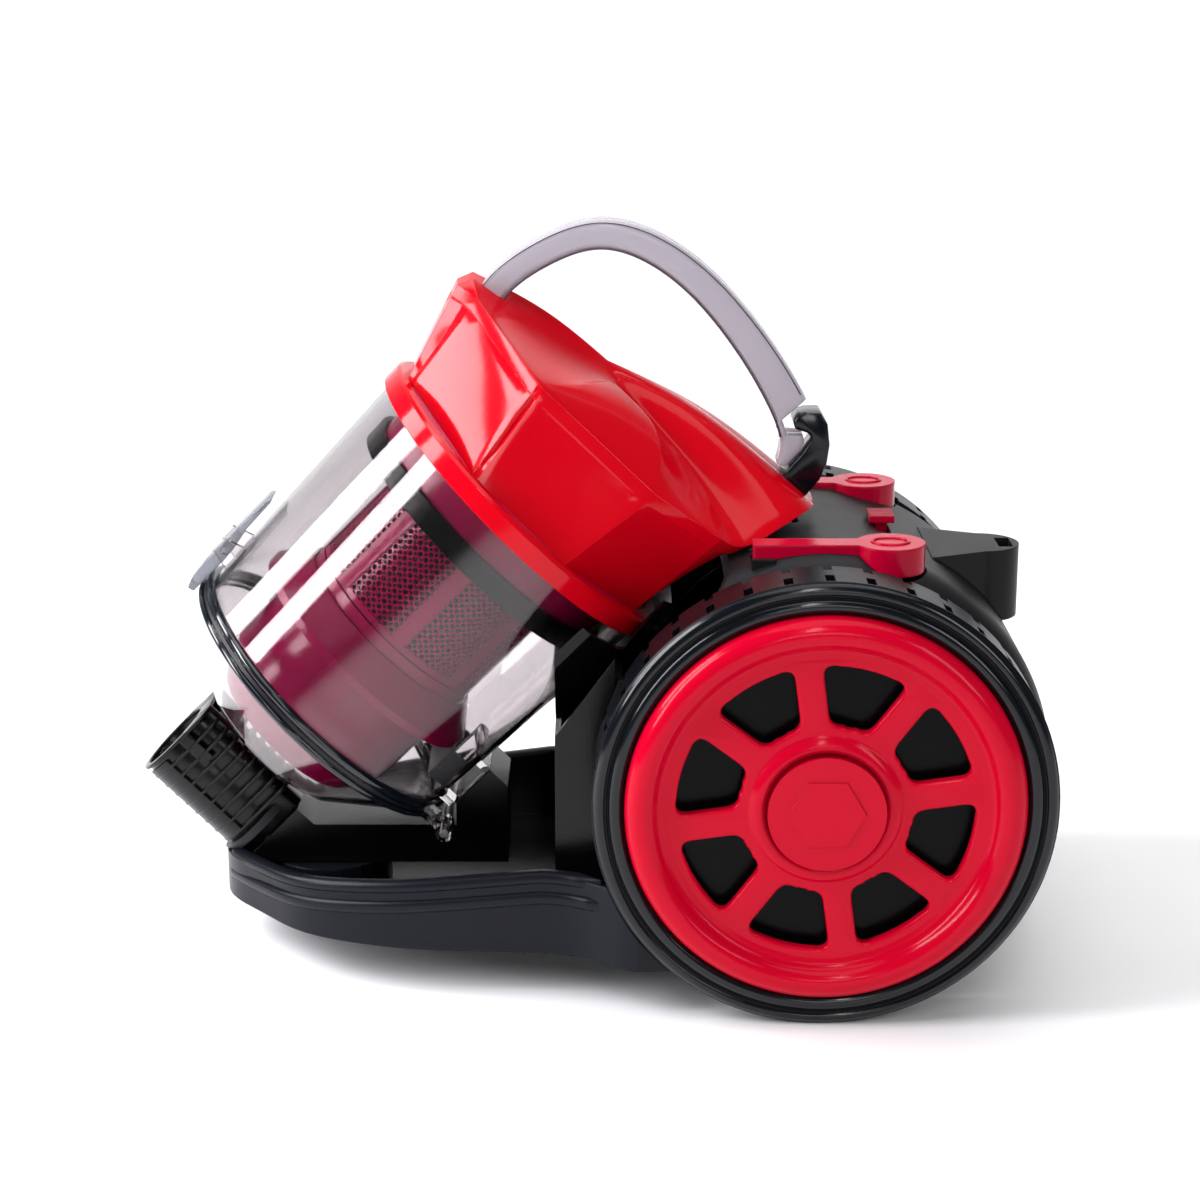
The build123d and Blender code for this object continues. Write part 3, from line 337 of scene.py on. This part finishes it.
def head_points():
    """Corners of the near side, given as (t, y, s) in the cup's own directions."""
    raw = {
        "foot_front": (80, 0, 9), "foot_front_edge": (79.5, -13, 9), "foot_groove": (76.5, -18, 9),
        "foot_fold": (33.6, -72, 9), "foot_fold_back": (30.4, -73.4, 9), "foot_side": (-25, -75.5, 9),
        "foot_rear": (-70, -40, 9), "foot_rear_middle": (-80.5, 0, 9),
        "brow": (95.5, 0, 58), "brow_edge": (94, -12, 57.6), "brow_groove": (83.5, -22.5, 61),
        "brow_top": (92.5, 0, 65.5), "brow_top_edge": (90.5, -11.5, 64.5),
        "shoulder": (40.5, -61.5, 59), "shoulder_back": (37, -62.5, 58.6),
        "hip": (-34, -61.5, 60), "haunch": (-70.5, -58.5, 66),
        "petal": (26.7, -40, 67.6), "crest_low": (10, -11, 77.5), "crest": (18, 0, 80.5),
        "twist": (-18, -35, 77), "valley": (-53, -40, 72),
        "tail_spine_1": (-21.6, 0, 93.4), "tail_spine_2": (-69.9, 0, 99.6), "tail_end": (-101, 0, 101.6),
        "tail_side": (-97.5, -20, 102), "tail_edge": (-88, -44, 82.5), "tail_flank": (-79, -54, 68),
    }
    return {name: cup_point(*where) for name, where in raw.items()}


def make_head_cover():
    """The faceted gloss-red head: side facets, the brow's cap, the top patches and the tail."""
    p = head_points()
    mesh = bmesh.new()
    inside = cup_point(0, 0, 45)
    seam = (9, 10)
    side_of = {}
    edges = [("foot_front", "brow"), ("foot_front_edge", "brow_edge"), ("foot_groove", "brow_groove")]
    edges += [("foot_fold", "shoulder"), ("foot_fold_back", "shoulder_back"), ("foot_side", "hip")]
    edges += [("foot_rear", "haunch")]
    for low, high in edges:
        # The rows crowd together near the top, where the groove runs round the head.
        shares = [k / 9 * 0.86 for k in range(9)] + [0.868, 0.876, 0.884, 1.0]
        side_of[high] = [p[low].lerp(p[high], share) for share in shares]

    def facet(low_a, low_b, high_a, high_b, count, swell=0.0, seam_rows=()):
        bottom = straight(p[low_a], p[low_b], count)
        top = straight(p[high_a], p[high_b], count)
        patch(mesh, bottom, side_of[high_b], top, side_of[high_a], swell, inside, seam_rows)

    facet("foot_front", "foot_front_edge", "brow", "brow_edge", 4, 0.0, seam)
    facet("foot_front_edge", "foot_groove", "brow_edge", "brow_groove", 2, -2.2)
    facet("foot_groove", "foot_fold", "brow_groove", "shoulder", 14, 0.9, seam)
    facet("foot_fold", "foot_fold_back", "shoulder", "shoulder_back", 2, -2.0)
    facet("foot_fold_back", "foot_side", "shoulder_back", "hip", 14, -1.4)
    facet("foot_side", "foot_rear", "hip", "haunch", 12, -1.2)

    cap_side = straight(p["brow_edge"], p["brow_top_edge"], 2)
    cap_top = straight(p["brow_top"], p["brow_top_edge"], 4)
    cap_corner = straight(p["brow_top_edge"], p["brow_groove"], 2)
    cap_front = straight(p["brow"], p["brow_edge"], 4)
    cap_cheek = straight(p["brow_edge"], p["brow_groove"], 2)
    patch(mesh, cap_front, cap_side, cap_top, straight(p["brow"], p["brow_top"], 2))
    patch(mesh, cap_cheek, cap_corner[::-1], [p["brow_top_edge"]] * 3, cap_side)

    rise = cup_point(0, 0, 3.5) - cup_point(0, 0, 0)
    rows = 16
    spine = smooth([p["brow_top"], p["brow_top"].lerp(p["crest"], 0.5) + rise, p["crest"]], rows)
    petal = smooth([p["shoulder"], p["petal"], p["crest_low"]], rows)
    twist = smooth([p["hip"], p["twist"], p["crest_low"]], rows)
    valley = smooth([p["haunch"], p["valley"], p["crest_low"]], rows)
    tail_spine = smooth([p["tail_end"], p["tail_spine_2"], p["tail_spine_1"], p["crest"]], rows)
    brow_line = cap_top + cap_corner[1:] + straight(p["brow_groove"], p["shoulder"], 14)[1:]
    across = len(brow_line) - 1
    crest_line = straight(p["crest"], p["crest_low"], across)
    hip_line = straight(p["shoulder"], p["shoulder_back"], 2)
    hip_line += straight(p["shoulder_back"], p["hip"], 14)[1:]
    edge_points = [p[name] for name in ("haunch", "tail_flank", "tail_edge", "tail_side", "tail_end")]
    tail_edge = smooth(edge_points, across)

    patch(mesh, brow_line, petal, crest_line, spine, -3.4, inside)
    patch(mesh, hip_line, twist, [p["crest_low"]] * len(hip_line), petal, 1.2, inside)
    patch(mesh, straight(p["hip"], p["haunch"], 12), valley, [p["crest_low"]] * 13, twist, -2.6, inside)
    patch(mesh, tail_edge, tail_spine, crest_line[::-1], valley, 1.5, inside)

    under = [p["foot_rear_middle"], Vector((0.068, 0, 0.2049)), Vector((0.098, 0, 0.2136)), p["tail_end"]]
    under_edge = smooth(under, len(side_of["haunch"]) - 1)
    rear_foot = straight(p["foot_rear"], p["foot_rear_middle"], across)
    patch(mesh, rear_foot, under_edge, tail_edge, side_of["haunch"])
    mirror_to_far_side(mesh)
    return soften(piece("head_shell", mesh, RED, "head", ["head_cover"]), 1.3, 3, 16)


# ---------------------------------------------------------------- carrying handle


# The handle's middle line as (x, z), from its front foot over the top to its rear foot.
HANDLE_LINE = [(-53, 305), (-42, 321.5), (-20, 338), (7, 346.5), (40, 335), (71, 305), (94, 270)]
HANDLE_LINE += [(102, 247), (93, 217)]
HANDLE_HALF_WIDTH = 10.3
# The button sits in the rear of the handle's foot, behind this x.
BUTTON_SIDE_X = 0.05


def handle_frames(count):
    """Points along the handle's middle with their outward normals and half depths."""
    line = smooth([Vector((x * MM, 0, z * MM)) for x, z in HANDLE_LINE], count)
    made = []
    for k, point in enumerate(line):
        heading = (line[min(k + 1, count)] - line[max(k - 1, 0)]).normalized()
        outward = Vector((-heading.z, 0, heading.x))
        made.append((point, outward, 6.4 + 4.2 * (k / count) ** 2))
    return made


# Outer face of the clear handle behind BUTTON_SIDE_X: how far it stands off the middle line at each height.
BUTTON_ROOM_Z = [222, 229, 236, 241, 247, 251, 253, 262, 264.5]
BUTTON_ROOM_REACH = [-7.5, -6.5, -4.8, -1.8, 2.0, 2.2, -5.6, -5.6, 12]


def make_handle_half(side, word):
    """One clear half of the handle, cut back where the button sits."""
    mesh = bmesh.new()
    half_width, corner, split_y, inset = 10.4, 3.2, 0.15, 0.3
    rings = []
    for k, (point, outward, depth) in enumerate(handle_frames(120)[1:-9]):
        clear_depth = depth - inset
        outer = clear_depth
        if point.x > BUTTON_SIDE_X:
            outer = min(outer, float(np.interp(point.z / MM, BUTTON_ROOM_Z, BUTTON_ROOM_REACH)))
        outline = [(split_y, outer), (half_width - corner, outer)]
        bend = min(corner, (outer + clear_depth) / 2.5)
        outline += [(half_width - corner + corner * math.sin(a), outer - bend + bend * math.cos(a))
                    for a in (0.4, 0.8, 1.2, 1.57)]
        outline += [(half_width - corner + corner * math.sin(a), -clear_depth + bend + bend * math.cos(a))
                    for a in (1.57, 1.95, 2.35, 2.75)]
        outline += [(half_width - corner, -clear_depth), (split_y, -clear_depth)]
        ring = []
        for y, rise in outline:
            ring.append(mesh.verts.new(point + outward * (rise * MM) + Vector((0, side * y * MM, 0))))
        rings.append(ring)
    skin(mesh, rings, closed=False)
    made = piece(f"handle_{word}_clear", mesh, HANDLE, "head", [f"handle_{word}"])
    return soften(made, 0.4, 2, 40)


def make_handle_shade_lines(side, word):
    """Dark lines along the handle's outer and inner edges: painted shade for the dark edges the clear
    plastic shows.
    """
    button_top_z = 0.266
    for label, offset, radius in (("outer", 0.82, 0.28), ("inner", -0.93, 0.5)):
        mesh = bmesh.new()
        rings = []
        sideways = Vector((0, side * (HANDLE_HALF_WIDTH - radius * 0.4) * MM, 0))
        for point, outward, depth in handle_frames(80)[4:-12]:
            if label == "outer" and point.x > BUTTON_SIDE_X and point.z < button_top_z:
                break
            middle = point + outward * (offset * depth * MM) + sideways
            rings.append(small_circle(mesh, middle, outward, Vector((0, 1, 0)), radius, 6))
        skin(mesh, rings, closed=False)
        shade_smooth(piece(f"handle_{label}_line_{word}", mesh, HANDLE_EDGE_SHADE, "head"))


def side_piece(name, corners, half_width, material, body, replaces, edge):
    """A plate of an outline in the side elevation, as wide each side of the middle, with round edges."""
    mesh = bmesh.new()
    rings = []
    for y in (-half_width, half_width):
        rings.append([mesh.verts.new(Vector((c.x, y * MM, c.z))) for c in corners])
    skin(mesh, rings, closed=False)
    return soften(piece(name, mesh, material, body, replaces), edge, 3, 35)


def make_release_button():
    """The black thumb button that fills the rear of the handle's foot, with its pad on top."""
    outline = [(98.5, 258.0), (100.5, 261.2), (105, 262.4), (111.5, 262.5), (114.8, 257), (116, 247)]
    outline += [(114.8, 238), (111.5, 230), (104.5, 221.6), (98, 226.2), (92.2, 230.6), (97, 236)]
    outline += [(102.5, 242), (107.6, 249.6), (105.5, 252.8), (99.5, 254.6)]
    corners = [Vector((x * MM, 0, z * MM)) for x, z in outline]
    body = "release_button"
    side_piece("thumb_button", corners, HANDLE_HALF_WIDTH, WHEEL_BLACK, body, [body], 0.9)


def make_latch():
    """The clear lever that holds the cup's lid shut, thick where it hooks the lid."""
    outline = [(80.8, -138.6), (84.0, -139.4), (86.0, -134), (87, -124), (87, -100), (86.6, -82)]
    outline += [(85.4, -79.6), (84.3, -80.4), (83.6, -98), (81.4, -110), (80.8, -118)]
    corners = [cup_point(t, 0, s) for t, s in outline]
    side_piece("latch_lever", corners, 11.4, LATCH_CLEAR, "lid_latch", ["lid_latch"], 0.7)


# ---------------------------------------------------------------- wheel faces


def wheel_point(r, angle, y):
    """A point on a wheel from its radius, angle and distance along the axle, in millimetres."""
    return Vector((WHEEL_X + r * MM * math.cos(angle), y * MM, WHEEL_Z + r * MM * math.sin(angle)))


def wheel_turned(mesh, profile, segments=160):
    """Turns a closed profile of (radius, y) points about the axle."""
    rings = []
    for k in range(segments):
        angle = TAU * k / segments
        rings.append([mesh.verts.new(wheel_point(r, angle, y)) for r, y in profile])
    skin(mesh, rings, closed=True)


def window_outline(middle_angle):
    """One window between two spokes: a ring sector with straight spokes beside it and round corners."""
    inner_r, outer_r, half_spoke, fillet = 37.5, 68.6, 4.9, 7.0
    half = TAU / 16
    sharp = []
    for r, count in ((outer_r, 14), (inner_r, 8)):
        reach = half - math.asin(half_spoke / r)
        angles = [middle_angle - reach + 2 * reach * k / count for k in range(count + 1)]
        ring = [Vector((r * math.cos(a), r * math.sin(a))) for a in angles]
        sharp.append(ring if r == outer_r else ring[::-1])
    loop = sharp[0] + sharp[1]
    corners = {0, len(sharp[0]) - 1, len(sharp[0]), len(loop) - 1}
    made = []
    for k, here in enumerate(loop):
        if k not in corners:
            if all((here - loop[c]).length > fillet for c in corners):
                made.append(here)
            continue
        before = (loop[k - 1] - here).normalized() * fillet + here
        after = (loop[(k + 1) % len(loop)] - here).normalized() * fillet + here
        for f in (0, 0.2, 0.4, 0.6, 0.8, 1.0):
            made.append(before.lerp(here, f).lerp(here.lerp(after, f), f))
    return made


def make_wheel_face(side, word):
    """The red trim: a domed outer ring, an inner step and eight rounded spokes."""
    curve = bpy.data.curves.new(f"spokes_{word}", "CURVE")
    curve.dimensions = "2D"
    curve.fill_mode = "BOTH"
    curve.extrude = 1.5 * MM
    curve.bevel_depth = 1.5 * MM
    curve.bevel_resolution = 3
    turn, spokes = math.radians(8), 8
    plate_r, plate_y, plate_steps = 76, 120.2, 96
    angles = [TAU * k / plate_steps for k in range(plate_steps)]
    loops = [[Vector((plate_r * math.cos(a), plate_r * math.sin(a))) for a in angles]]
    loops += [window_outline(turn + TAU * (k + 0.5) / spokes) for k in range(spokes)]
    for loop in loops:
        spline = curve.splines.new("POLY")
        spline.points.add(len(loop) - 1)
        spline.use_cyclic_u = True
        for point, where in zip(spline.points, loop):
            point.co = (where.x * MM, where.y * MM, 0, 1)
    shape = bpy.data.objects.new(f"spokes_{word}", curve)
    bpy.context.scene.collection.objects.link(shape)
    bpy.context.view_layer.update()
    flat = bpy.data.meshes.new_from_object(shape)
    bpy.data.objects.remove(shape)
    mesh = bmesh.new()
    mesh.from_mesh(flat)
    bpy.data.meshes.remove(flat)
    for v in mesh.verts:
        v.co = Vector((WHEEL_X + v.co.x, side * plate_y * MM + side * v.co.z, WHEEL_Z + v.co.y))
    ring = [(70.5, 117.5), (70.5, 122.6), (71.6, 123.4), (73.4, 123.7), (75.2, 124.2), (76.4, 126.2)]
    ring += [(77.8, 128.3), (79.6, 129.5), (82, 129.9), (84.6, 129.6), (87, 128.4), (89.2, 126.2)]
    ring += [(90.2, 123.4), (90.2, 117.5)]
    wheel_turned(mesh, [(r, side * y) for r, y in ring])
    hub = [(26.9, 117.5), (26.9, 124.4), (28, 125.6), (30, 126), (32.4, 125.2), (34.5, 123.4), (36, 122)]
    hub += [(36, 117.5)]
    wheel_turned(mesh, [(r, side * y) for r, y in hub], 96)
    made = piece(f"trim_{word}", mesh, WHEEL_RED, f"wheel_{word}", [f"wheel_trim_{word}"])
    shade_smooth(made)
    made.data.set_sharp_from_angle(angle=math.radians(50))


# ---------------------------------------------------------------- separator


def pierce_cell(mesh, radius, angles, levels):
    """One cell of the cage's wall with an eight-sided hole through it."""
    sides, hole_share, depth = 8, 0.36 / 1.05, 1.4
    mid_angle, mid_level = sum(angles) / 2, sum(levels) / 2
    wide, tall = angles[1] - angles[0], levels[1] - levels[0]
    rim, hole = [], []
    for k in range(sides):
        c, d = math.cos(TAU * (k + 0.5) / sides), math.sin(TAU * (k + 0.5) / sides)
        reach = 0.5 / max(abs(c), abs(d))
        rim.append((mid_angle + wide * c * reach, mid_level + tall * d * reach))
        hole.append((mid_angle + wide * hole_share * c, mid_level + tall * hole_share * d))

    def ring_of(places, r):
        return [mesh.verts.new(cup_point(r * math.cos(a), r * math.sin(a), level)) for a, level in places]

    rim, deep, hole = ring_of(rim, radius), ring_of(hole, radius - depth), ring_of(hole, radius)
    skin(mesh, [rim, hole, deep], closed=False, filled_ends=False)


def make_perforated_cage():
    """The cage's wall: panels of small holes between plain ribs, under the black plate."""
    mesh = bmesh.new()
    radius, low, high, margin = 49.6, -79.5, -24.5, 3.0
    panels, columns, rows = 8, 8, 14
    rib = math.radians(9)
    panel = TAU / panels - rib
    row_height = (high - low - 2 * margin) / rows
    inner, rib_outer, band_outer = radius - 2.0, radius + 0.5, radius + 0.2
    for n in range(panels):
        start = n * TAU / panels + rib / 2
        for i in range(columns):
            angles = start + panel * i / columns, start + panel * (i + 1) / columns
            for j in range(rows):
                foot = low + margin + row_height * j
                pierce_cell(mesh, radius, angles, (foot, foot + row_height))
        rib_profile = [(inner, low), (rib_outer, low), (rib_outer, high), (inner, high)]
        cup_turned(mesh, rib_profile, 4, start - rib, rib)
        for s0, s1 in ((low, low + margin), (high - margin, high)):
            band_profile = [(inner, s0), (band_outer, s0), (band_outer, s1), (inner, s1)]
            cup_turned(mesh, band_profile, 10, start, panel)
    piece("perforated_cage", mesh, BURGUNDY, "head", ["separator_cage"])


# ---------------------------------------------------------------- hose inlet

INLET_S = -203.0
INLET_BORE_R, INLET_FOOT_T, INLET_MOUTH_T = 18.05, -29.0, 36.2
RIBS, RIB_START_T, RIB_PITCH, RIB_WIDTH = 9, -18.0, 6.6, 1.6


def inlet_reach(angle):
    """Outer size of the inlet's ribs: round below, squared off above where it meets the cup's lid."""
    lower, top, half_width, power = 21.5, 28.0, 21.5, 6.0
    up, across = math.sin(angle), abs(math.cos(angle))
    if up <= 0:
        return lower
    return 1 / ((up / top) ** power + (across / half_width) ** power) ** (1 / power)


def inlet_ring(mesh, t_low, t_high, reach, bore=INLET_BORE_R, start=0.0, sweep=TAU, steps=72):
    """A plate square to the inlet's axis, from its bore out to reach(angle)."""
    closed = sweep > TAU - 0.01
    rings = []
    for k in range(steps if closed else steps + 1):
        angle = start + sweep * k / steps
        ring = []
        for r, t in ((bore, t_low), (reach(angle), t_low), (reach(angle), t_high), (bore, t_high)):
            ring.append(mesh.verts.new(cup_point(t, r * math.cos(angle), INLET_S + r * math.sin(angle))))
        rings.append(ring)
    skin(mesh, rings, closed)


def make_hose_inlet():
    """The ribbed connector: a tube with comb ribs, a smooth band low on each side and bayonet fingers."""
    tube_r, comb_depth = 19.6, 4.6
    band_r, band_bore, band_sweep, band_end_t = 21.3, 19.0, 0.84, 33
    finger_foot_t, finger_tip_t = 18, 36.4
    mesh = bmesh.new()
    inlet_ring(mesh, INLET_FOOT_T, INLET_MOUTH_T, lambda angle: max(tube_r, inlet_reach(angle) - comb_depth))
    for rib in range(RIBS):
        t = RIB_START_T + RIB_PITCH * rib
        inlet_ring(mesh, t, t + RIB_WIDTH, inlet_reach)
    for middle in (218, 322):
        start = math.radians(middle) - band_sweep / 2
        inlet_ring(mesh, RIB_START_T, band_end_t, lambda angle: band_r, band_bore, start, band_sweep, 12)
    for middle, width in ((24, 0.26), (64, 0.2), (116, 0.2), (156, 0.26)):
        start = math.radians(middle) - width / 2
        inlet_ring(mesh, finger_foot_t, finger_tip_t, inlet_reach, INLET_BORE_R, start, width, 4)
    soften(piece("inlet_comb", mesh, INNER, "chassis", ["hose_inlet"]), 0.35, 2, 40)


# ---------------------------------------------------------------- seams, rims and marks


def turned_band(name, profile, material, body):
    """A smooth band turned about the cup's axis."""
    mesh = bmesh.new()
    cup_turned(mesh, profile, 160)
    return soften(piece(name, mesh, material, body), 0.2, 2, 50)


def make_cup_seam():
    """The two dark rolled edges where the cup meets its lid."""
    upper = [(77.9, -131.4), (79.6, -131.3), (80.3, -130.4), (80.3, -128.9), (79.6, -128.0), (77.0, -127.4)]
    lower = [(77.0, -134.1), (79.8, -134.2), (80.4, -135.1), (80.3, -136.3), (79.4, -137.2), (76.6, -137.6)]
    turned_band("cup_seam_upper", upper, SEAM_DARK, "cup")
    turned_band("cup_seam_lower", lower, SEAM_DARK, "cup_lid")


def make_wheel_bands(side, word):
    """The glossy ring inside the tyre and the tyre's rounded shoulder."""
    ring = [(90.6, 118), (90.6, 121.4), (91.8, 123.2), (94.2, 124.0), (96.4, 123.3), (97.6, 121.8)]
    ring += [(97.9, 118)]
    shoulder = [(99.0, 118), (99.0, 121.8), (100.0, 122.9), (101.8, 122.8), (103.8, 121.3), (104.7, 119.6)]
    shoulder += [(104.7, 118)]
    for label, profile in (("rim_band", ring), ("tyre_shoulder", shoulder)):
        mesh = bmesh.new()
        wheel_turned(mesh, [(r, side * y) for r, y in profile])
        shade_smooth(piece(f"{label}_{word}", mesh, WHEEL_BLACK, f"wheel_{word}"))


def make_pedal_mark(side, pedal):
    """The raised oval on a pedal's round end."""
    long_r, short_r, bead_r, steps = 8.4 * MM, 6.4 * MM, 0.8, 48
    mesh = bmesh.new()
    rings = []
    for k in range(steps):
        angle = TAU * k / steps
        out = Vector((math.cos(angle), math.sin(angle), 0))
        middle = Vector((PEDAL_X + long_r * out.x, side * PEDAL_Y + short_r * out.y, PEDAL_TOP_Z))
        rings.append(small_circle(mesh, middle, out, Vector((0, 0, 1)), bead_r, 8))
    skin(mesh, rings, closed=True)
    shade_smooth(piece(f"{pedal}_mark", mesh, PEDAL_RED, pedal))


def make_pedal_spring(side, pedal):
    """The coil under a pedal's round end."""
    coil_r, wire_r, pitch, length, steps = 5.0, 0.6, 3.2, 13.0, 160
    foot = Vector((PEDAL_X, side * PEDAL_Y, PEDAL_SPRING_FOOT_Z))
    mesh = bmesh.new()
    rings = []
    for k in range(steps + 1):
        share = k / steps
        angle = TAU * share * length / pitch
        out = Vector((math.cos(angle), math.sin(angle), 0))
        middle = foot + out * (coil_r * MM) + Vector((0, 0, share * length * MM))
        rings.append(small_circle(mesh, middle, out, Vector((0, 0, 1)), wire_r, 8))
    skin(mesh, rings, closed=False)
    made = piece(f"{pedal}_coil", mesh, STEEL, "chassis", [f"{pedal}_spring"])
    shade_smooth(made)
    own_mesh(made)


# ---------------------------------------------------------------- base tray


def tray_rim_line(end_x):
    """Top of the tray's wall on one side, from the hose inlet back to the wheel, fading out at its end."""
    half = [(-158, 41), (-136, 65), (-111, 78), (-87, 85), (-58, 88.5), (-30, 90), (-7, 94), (7, 102)]
    half += [(24, 112)]
    around = [(x, -y) for x, y in reversed(half)] + [(-178.6, 0)] + half
    line = smooth([Vector((x * MM, y * MM, 0)) for x, y in around], 320)
    start_y, fade_length = 0.017, 0.012
    rim_z, rim_slope, flat_z = 0.0407, 0.1056, 0.0597
    made = []
    for before, point, after in zip(line, line[1:], line[2:]):
        if point.y > start_y and point.x < end_x:
            heading = (after - before).normalized()
            height = min(flat_z, rim_z + (point.x + 0.2) * rim_slope)
            fade = min(1.0, 0.1 + (end_x - point.x) / fade_length)
            made.append((Vector((point.x, point.y, height)), Vector((-heading.y, heading.x, 0)), fade))
    return made


def make_tray_rim():
    """The rolled lip along the tray's wall and the raised band under it."""
    middle = Vector((-0.09, 0, 0))
    wall_middle = -2
    lip = [(-6.2, -1.5), (-6.4, 1.0), (-5.6, 2.1), (-4.0, 2.6), (-1.4, 2.5), (0.2, 1.6), (0.9, 0.0)]
    lip += [(0.9, -1.6), (0.1, -3.0), (-2.0, -3.2)]
    band = [(-1.5, -7.0), (0.6, -7.0), (1.5, -8.2), (1.7, -9.8), (1.3, -11.6), (0.3, -13.2), (-1.5, -13.6)]
    for label, profile, end_x in (("lip", lip, 0.007), ("band", band, 0.012)):
        mesh = bmesh.new()
        rings = []
        for point, across, fade in tray_rim_line(end_x):
            if across.dot(Vector((point.x, point.y, 0)) - middle) < 0:
                across = -across
            ring = []
            for out, up in profile:
                drawn_in = wall_middle + (out - wall_middle) * fade
                ring.append(mesh.verts.new(point + across * (drawn_in * MM) + Vector((0, 0, up * MM))))
            rings.append(ring)
        skin(mesh, rings, closed=False)
        mirror_to_far_side(mesh)
        soften(piece(f"tray_{label}", mesh, TRAY, "chassis"), 0.3, 2, 60)


def shade_tray_inside():
    """Painted shade: the tray's inner floor and inner wall take the near-black material as the shade inside
    the recess; its outer wall and rim keep the body's dark grey.
    """
    tray = frame["nodes"]["base_tray"]
    tray.data.materials.append(INNER)
    middle = Vector((-0.07, 0, 0))
    floor_top_z, wall_foot_z, shaded_to_x = 0.036, 0.024, 0.02
    for face in tray.data.polygons:
        where, facing = face.center, face.normal
        outward = Vector((where.x - middle.x, where.y, 0))
        floor = facing.z > 0.5 and where.z < floor_top_z
        wall = outward.dot(facing) < -0.001 and abs(facing.z) < 0.5 and where.z > wall_foot_z
        # painted shade: the inner floor and wall faces get the near-black material
        if where.x < shaded_to_x and (floor or wall):
            face.material_index = 1


# ---------------------------------------------------------------- assembly


dress_cad_nodes()
make_head_cover()
for hand, side_word in ((-1, "left"), (1, "right")):
    make_handle_half(hand, side_word)
    make_handle_shade_lines(hand, side_word)
    make_wheel_face(hand, side_word)
    make_wheel_bands(hand, side_word)
for hand, pedal_body in ((-1, "power_pedal"), (1, "rewind_pedal")):
    make_pedal_mark(hand, pedal_body)
    make_pedal_spring(hand, pedal_body)
make_perforated_cage()
make_release_button()
make_latch()
make_hose_inlet()
make_cup_seam()
make_tray_rim()
shade_tray_inside()


# ---------------------------------------------------------------- stage


def make_stage():
    """A pale floor that curves up behind the object."""
    mesh = bmesh.new()
    flat_end, bend_r, top = 1.4, 0.9, 4.0
    profile = [(-4.0, 0.0), (flat_end, 0.0)]
    for turn in range(10, 91, 10):
        angle = math.radians(turn)
        profile.append((flat_end + bend_r * math.sin(angle), bend_r - bend_r * math.cos(angle)))
    profile.append((flat_end + bend_r, top))
    columns = [[mesh.verts.new((x, y, z)) for y, z in profile] for x in (-5, 5)]
    for k in range(len(profile) - 1):
        mesh.faces.new([columns[0][k], columns[1][k], columns[1][k + 1], columns[0][k + 1]])
    data = bpy.data.meshes.new("floor")
    mesh.to_mesh(data)
    mesh.free()
    floor = bpy.data.objects.new("floor", data)
    bpy.context.scene.collection.objects.link(floor)
    shade_smooth(floor)
    data.materials.append(surface("pale_floor", (0.93, 0.93, 0.935), 0.6, mottle=0.004, edge=0))

    world = bpy.data.worlds.new("studio")
    bpy.context.scene.world = world
    world.use_nodes = True
    sky = world.node_tree.nodes["Background"]
    sky.inputs["Color"].default_value = (0.95, 0.97, 1.0, 1)
    sky.inputs["Strength"].default_value = WORLD_STRENGTH


def area_light(name, place, aim, size, power, colour=(1, 1, 1)):
    """A rectangular lamp at a place, turned to its aim; its power is in watts."""
    lamp = bpy.data.lights.new(name, "AREA")
    lamp.shape = "RECTANGLE"
    lamp.size, lamp.size_y = size
    lamp.energy = power
    lamp.color = colour
    thing = bpy.data.objects.new(name, lamp)
    bpy.context.scene.collection.objects.link(thing)
    thing.location = place
    thing.rotation_euler = (Vector(aim) - Vector(place)).to_track_quat("-Z", "Y").to_euler()


def make_lights():
    area_light("strip_cup", (-1.26, -0.54, 0.95), (-0.1, 0, 0.2), (0.34, 1.1), 24, (0.96, 0.95, 1.0))
    area_light("softbox_head", (-1.3, 0.12, 1.1), (-0.05, 0, 0.28), (0.5, 0.9), 22, (1.0, 0.97, 1.0))
    area_light("top_soft", (0.2, -0.3, 1.9), (0, 0, 0.15), (1.6, 1.2), 12)
    area_light("strip_right", (1.3, -1.2, 0.9), (0.1, 0, 0.15), (0.35, 1.0), 7)
    area_light("front_wheel", (0.2, -1.9, 0.55), (0.1, 0, 0.12), (0.5, 0.25), 2.5)
    area_light("strip_wheel", (0.10, -1.45, 1.25), (0.1, -0.12, 0.2), (0.10, 0.7), 4)
    area_light("backdrop", (0.0, 0.6, 2.2), (0, 1.8, 0.4), (3.0, 0.6), 30)


def make_camera():
    lens = bpy.data.cameras.new("camera")
    lens.sensor_width = 36
    lens.lens = CAMERA_LENS_MM
    camera = bpy.data.objects.new("camera", lens)
    bpy.context.scene.collection.objects.link(camera)
    camera.location = CAMERA_PLACE
    camera.rotation_euler = (math.radians(CAMERA_TILT_DEG), 0, 0)
    bpy.context.scene.camera = camera


make_stage()
make_lights()
make_camera()
bpy.context.scene.view_settings.view_transform = "Standard"
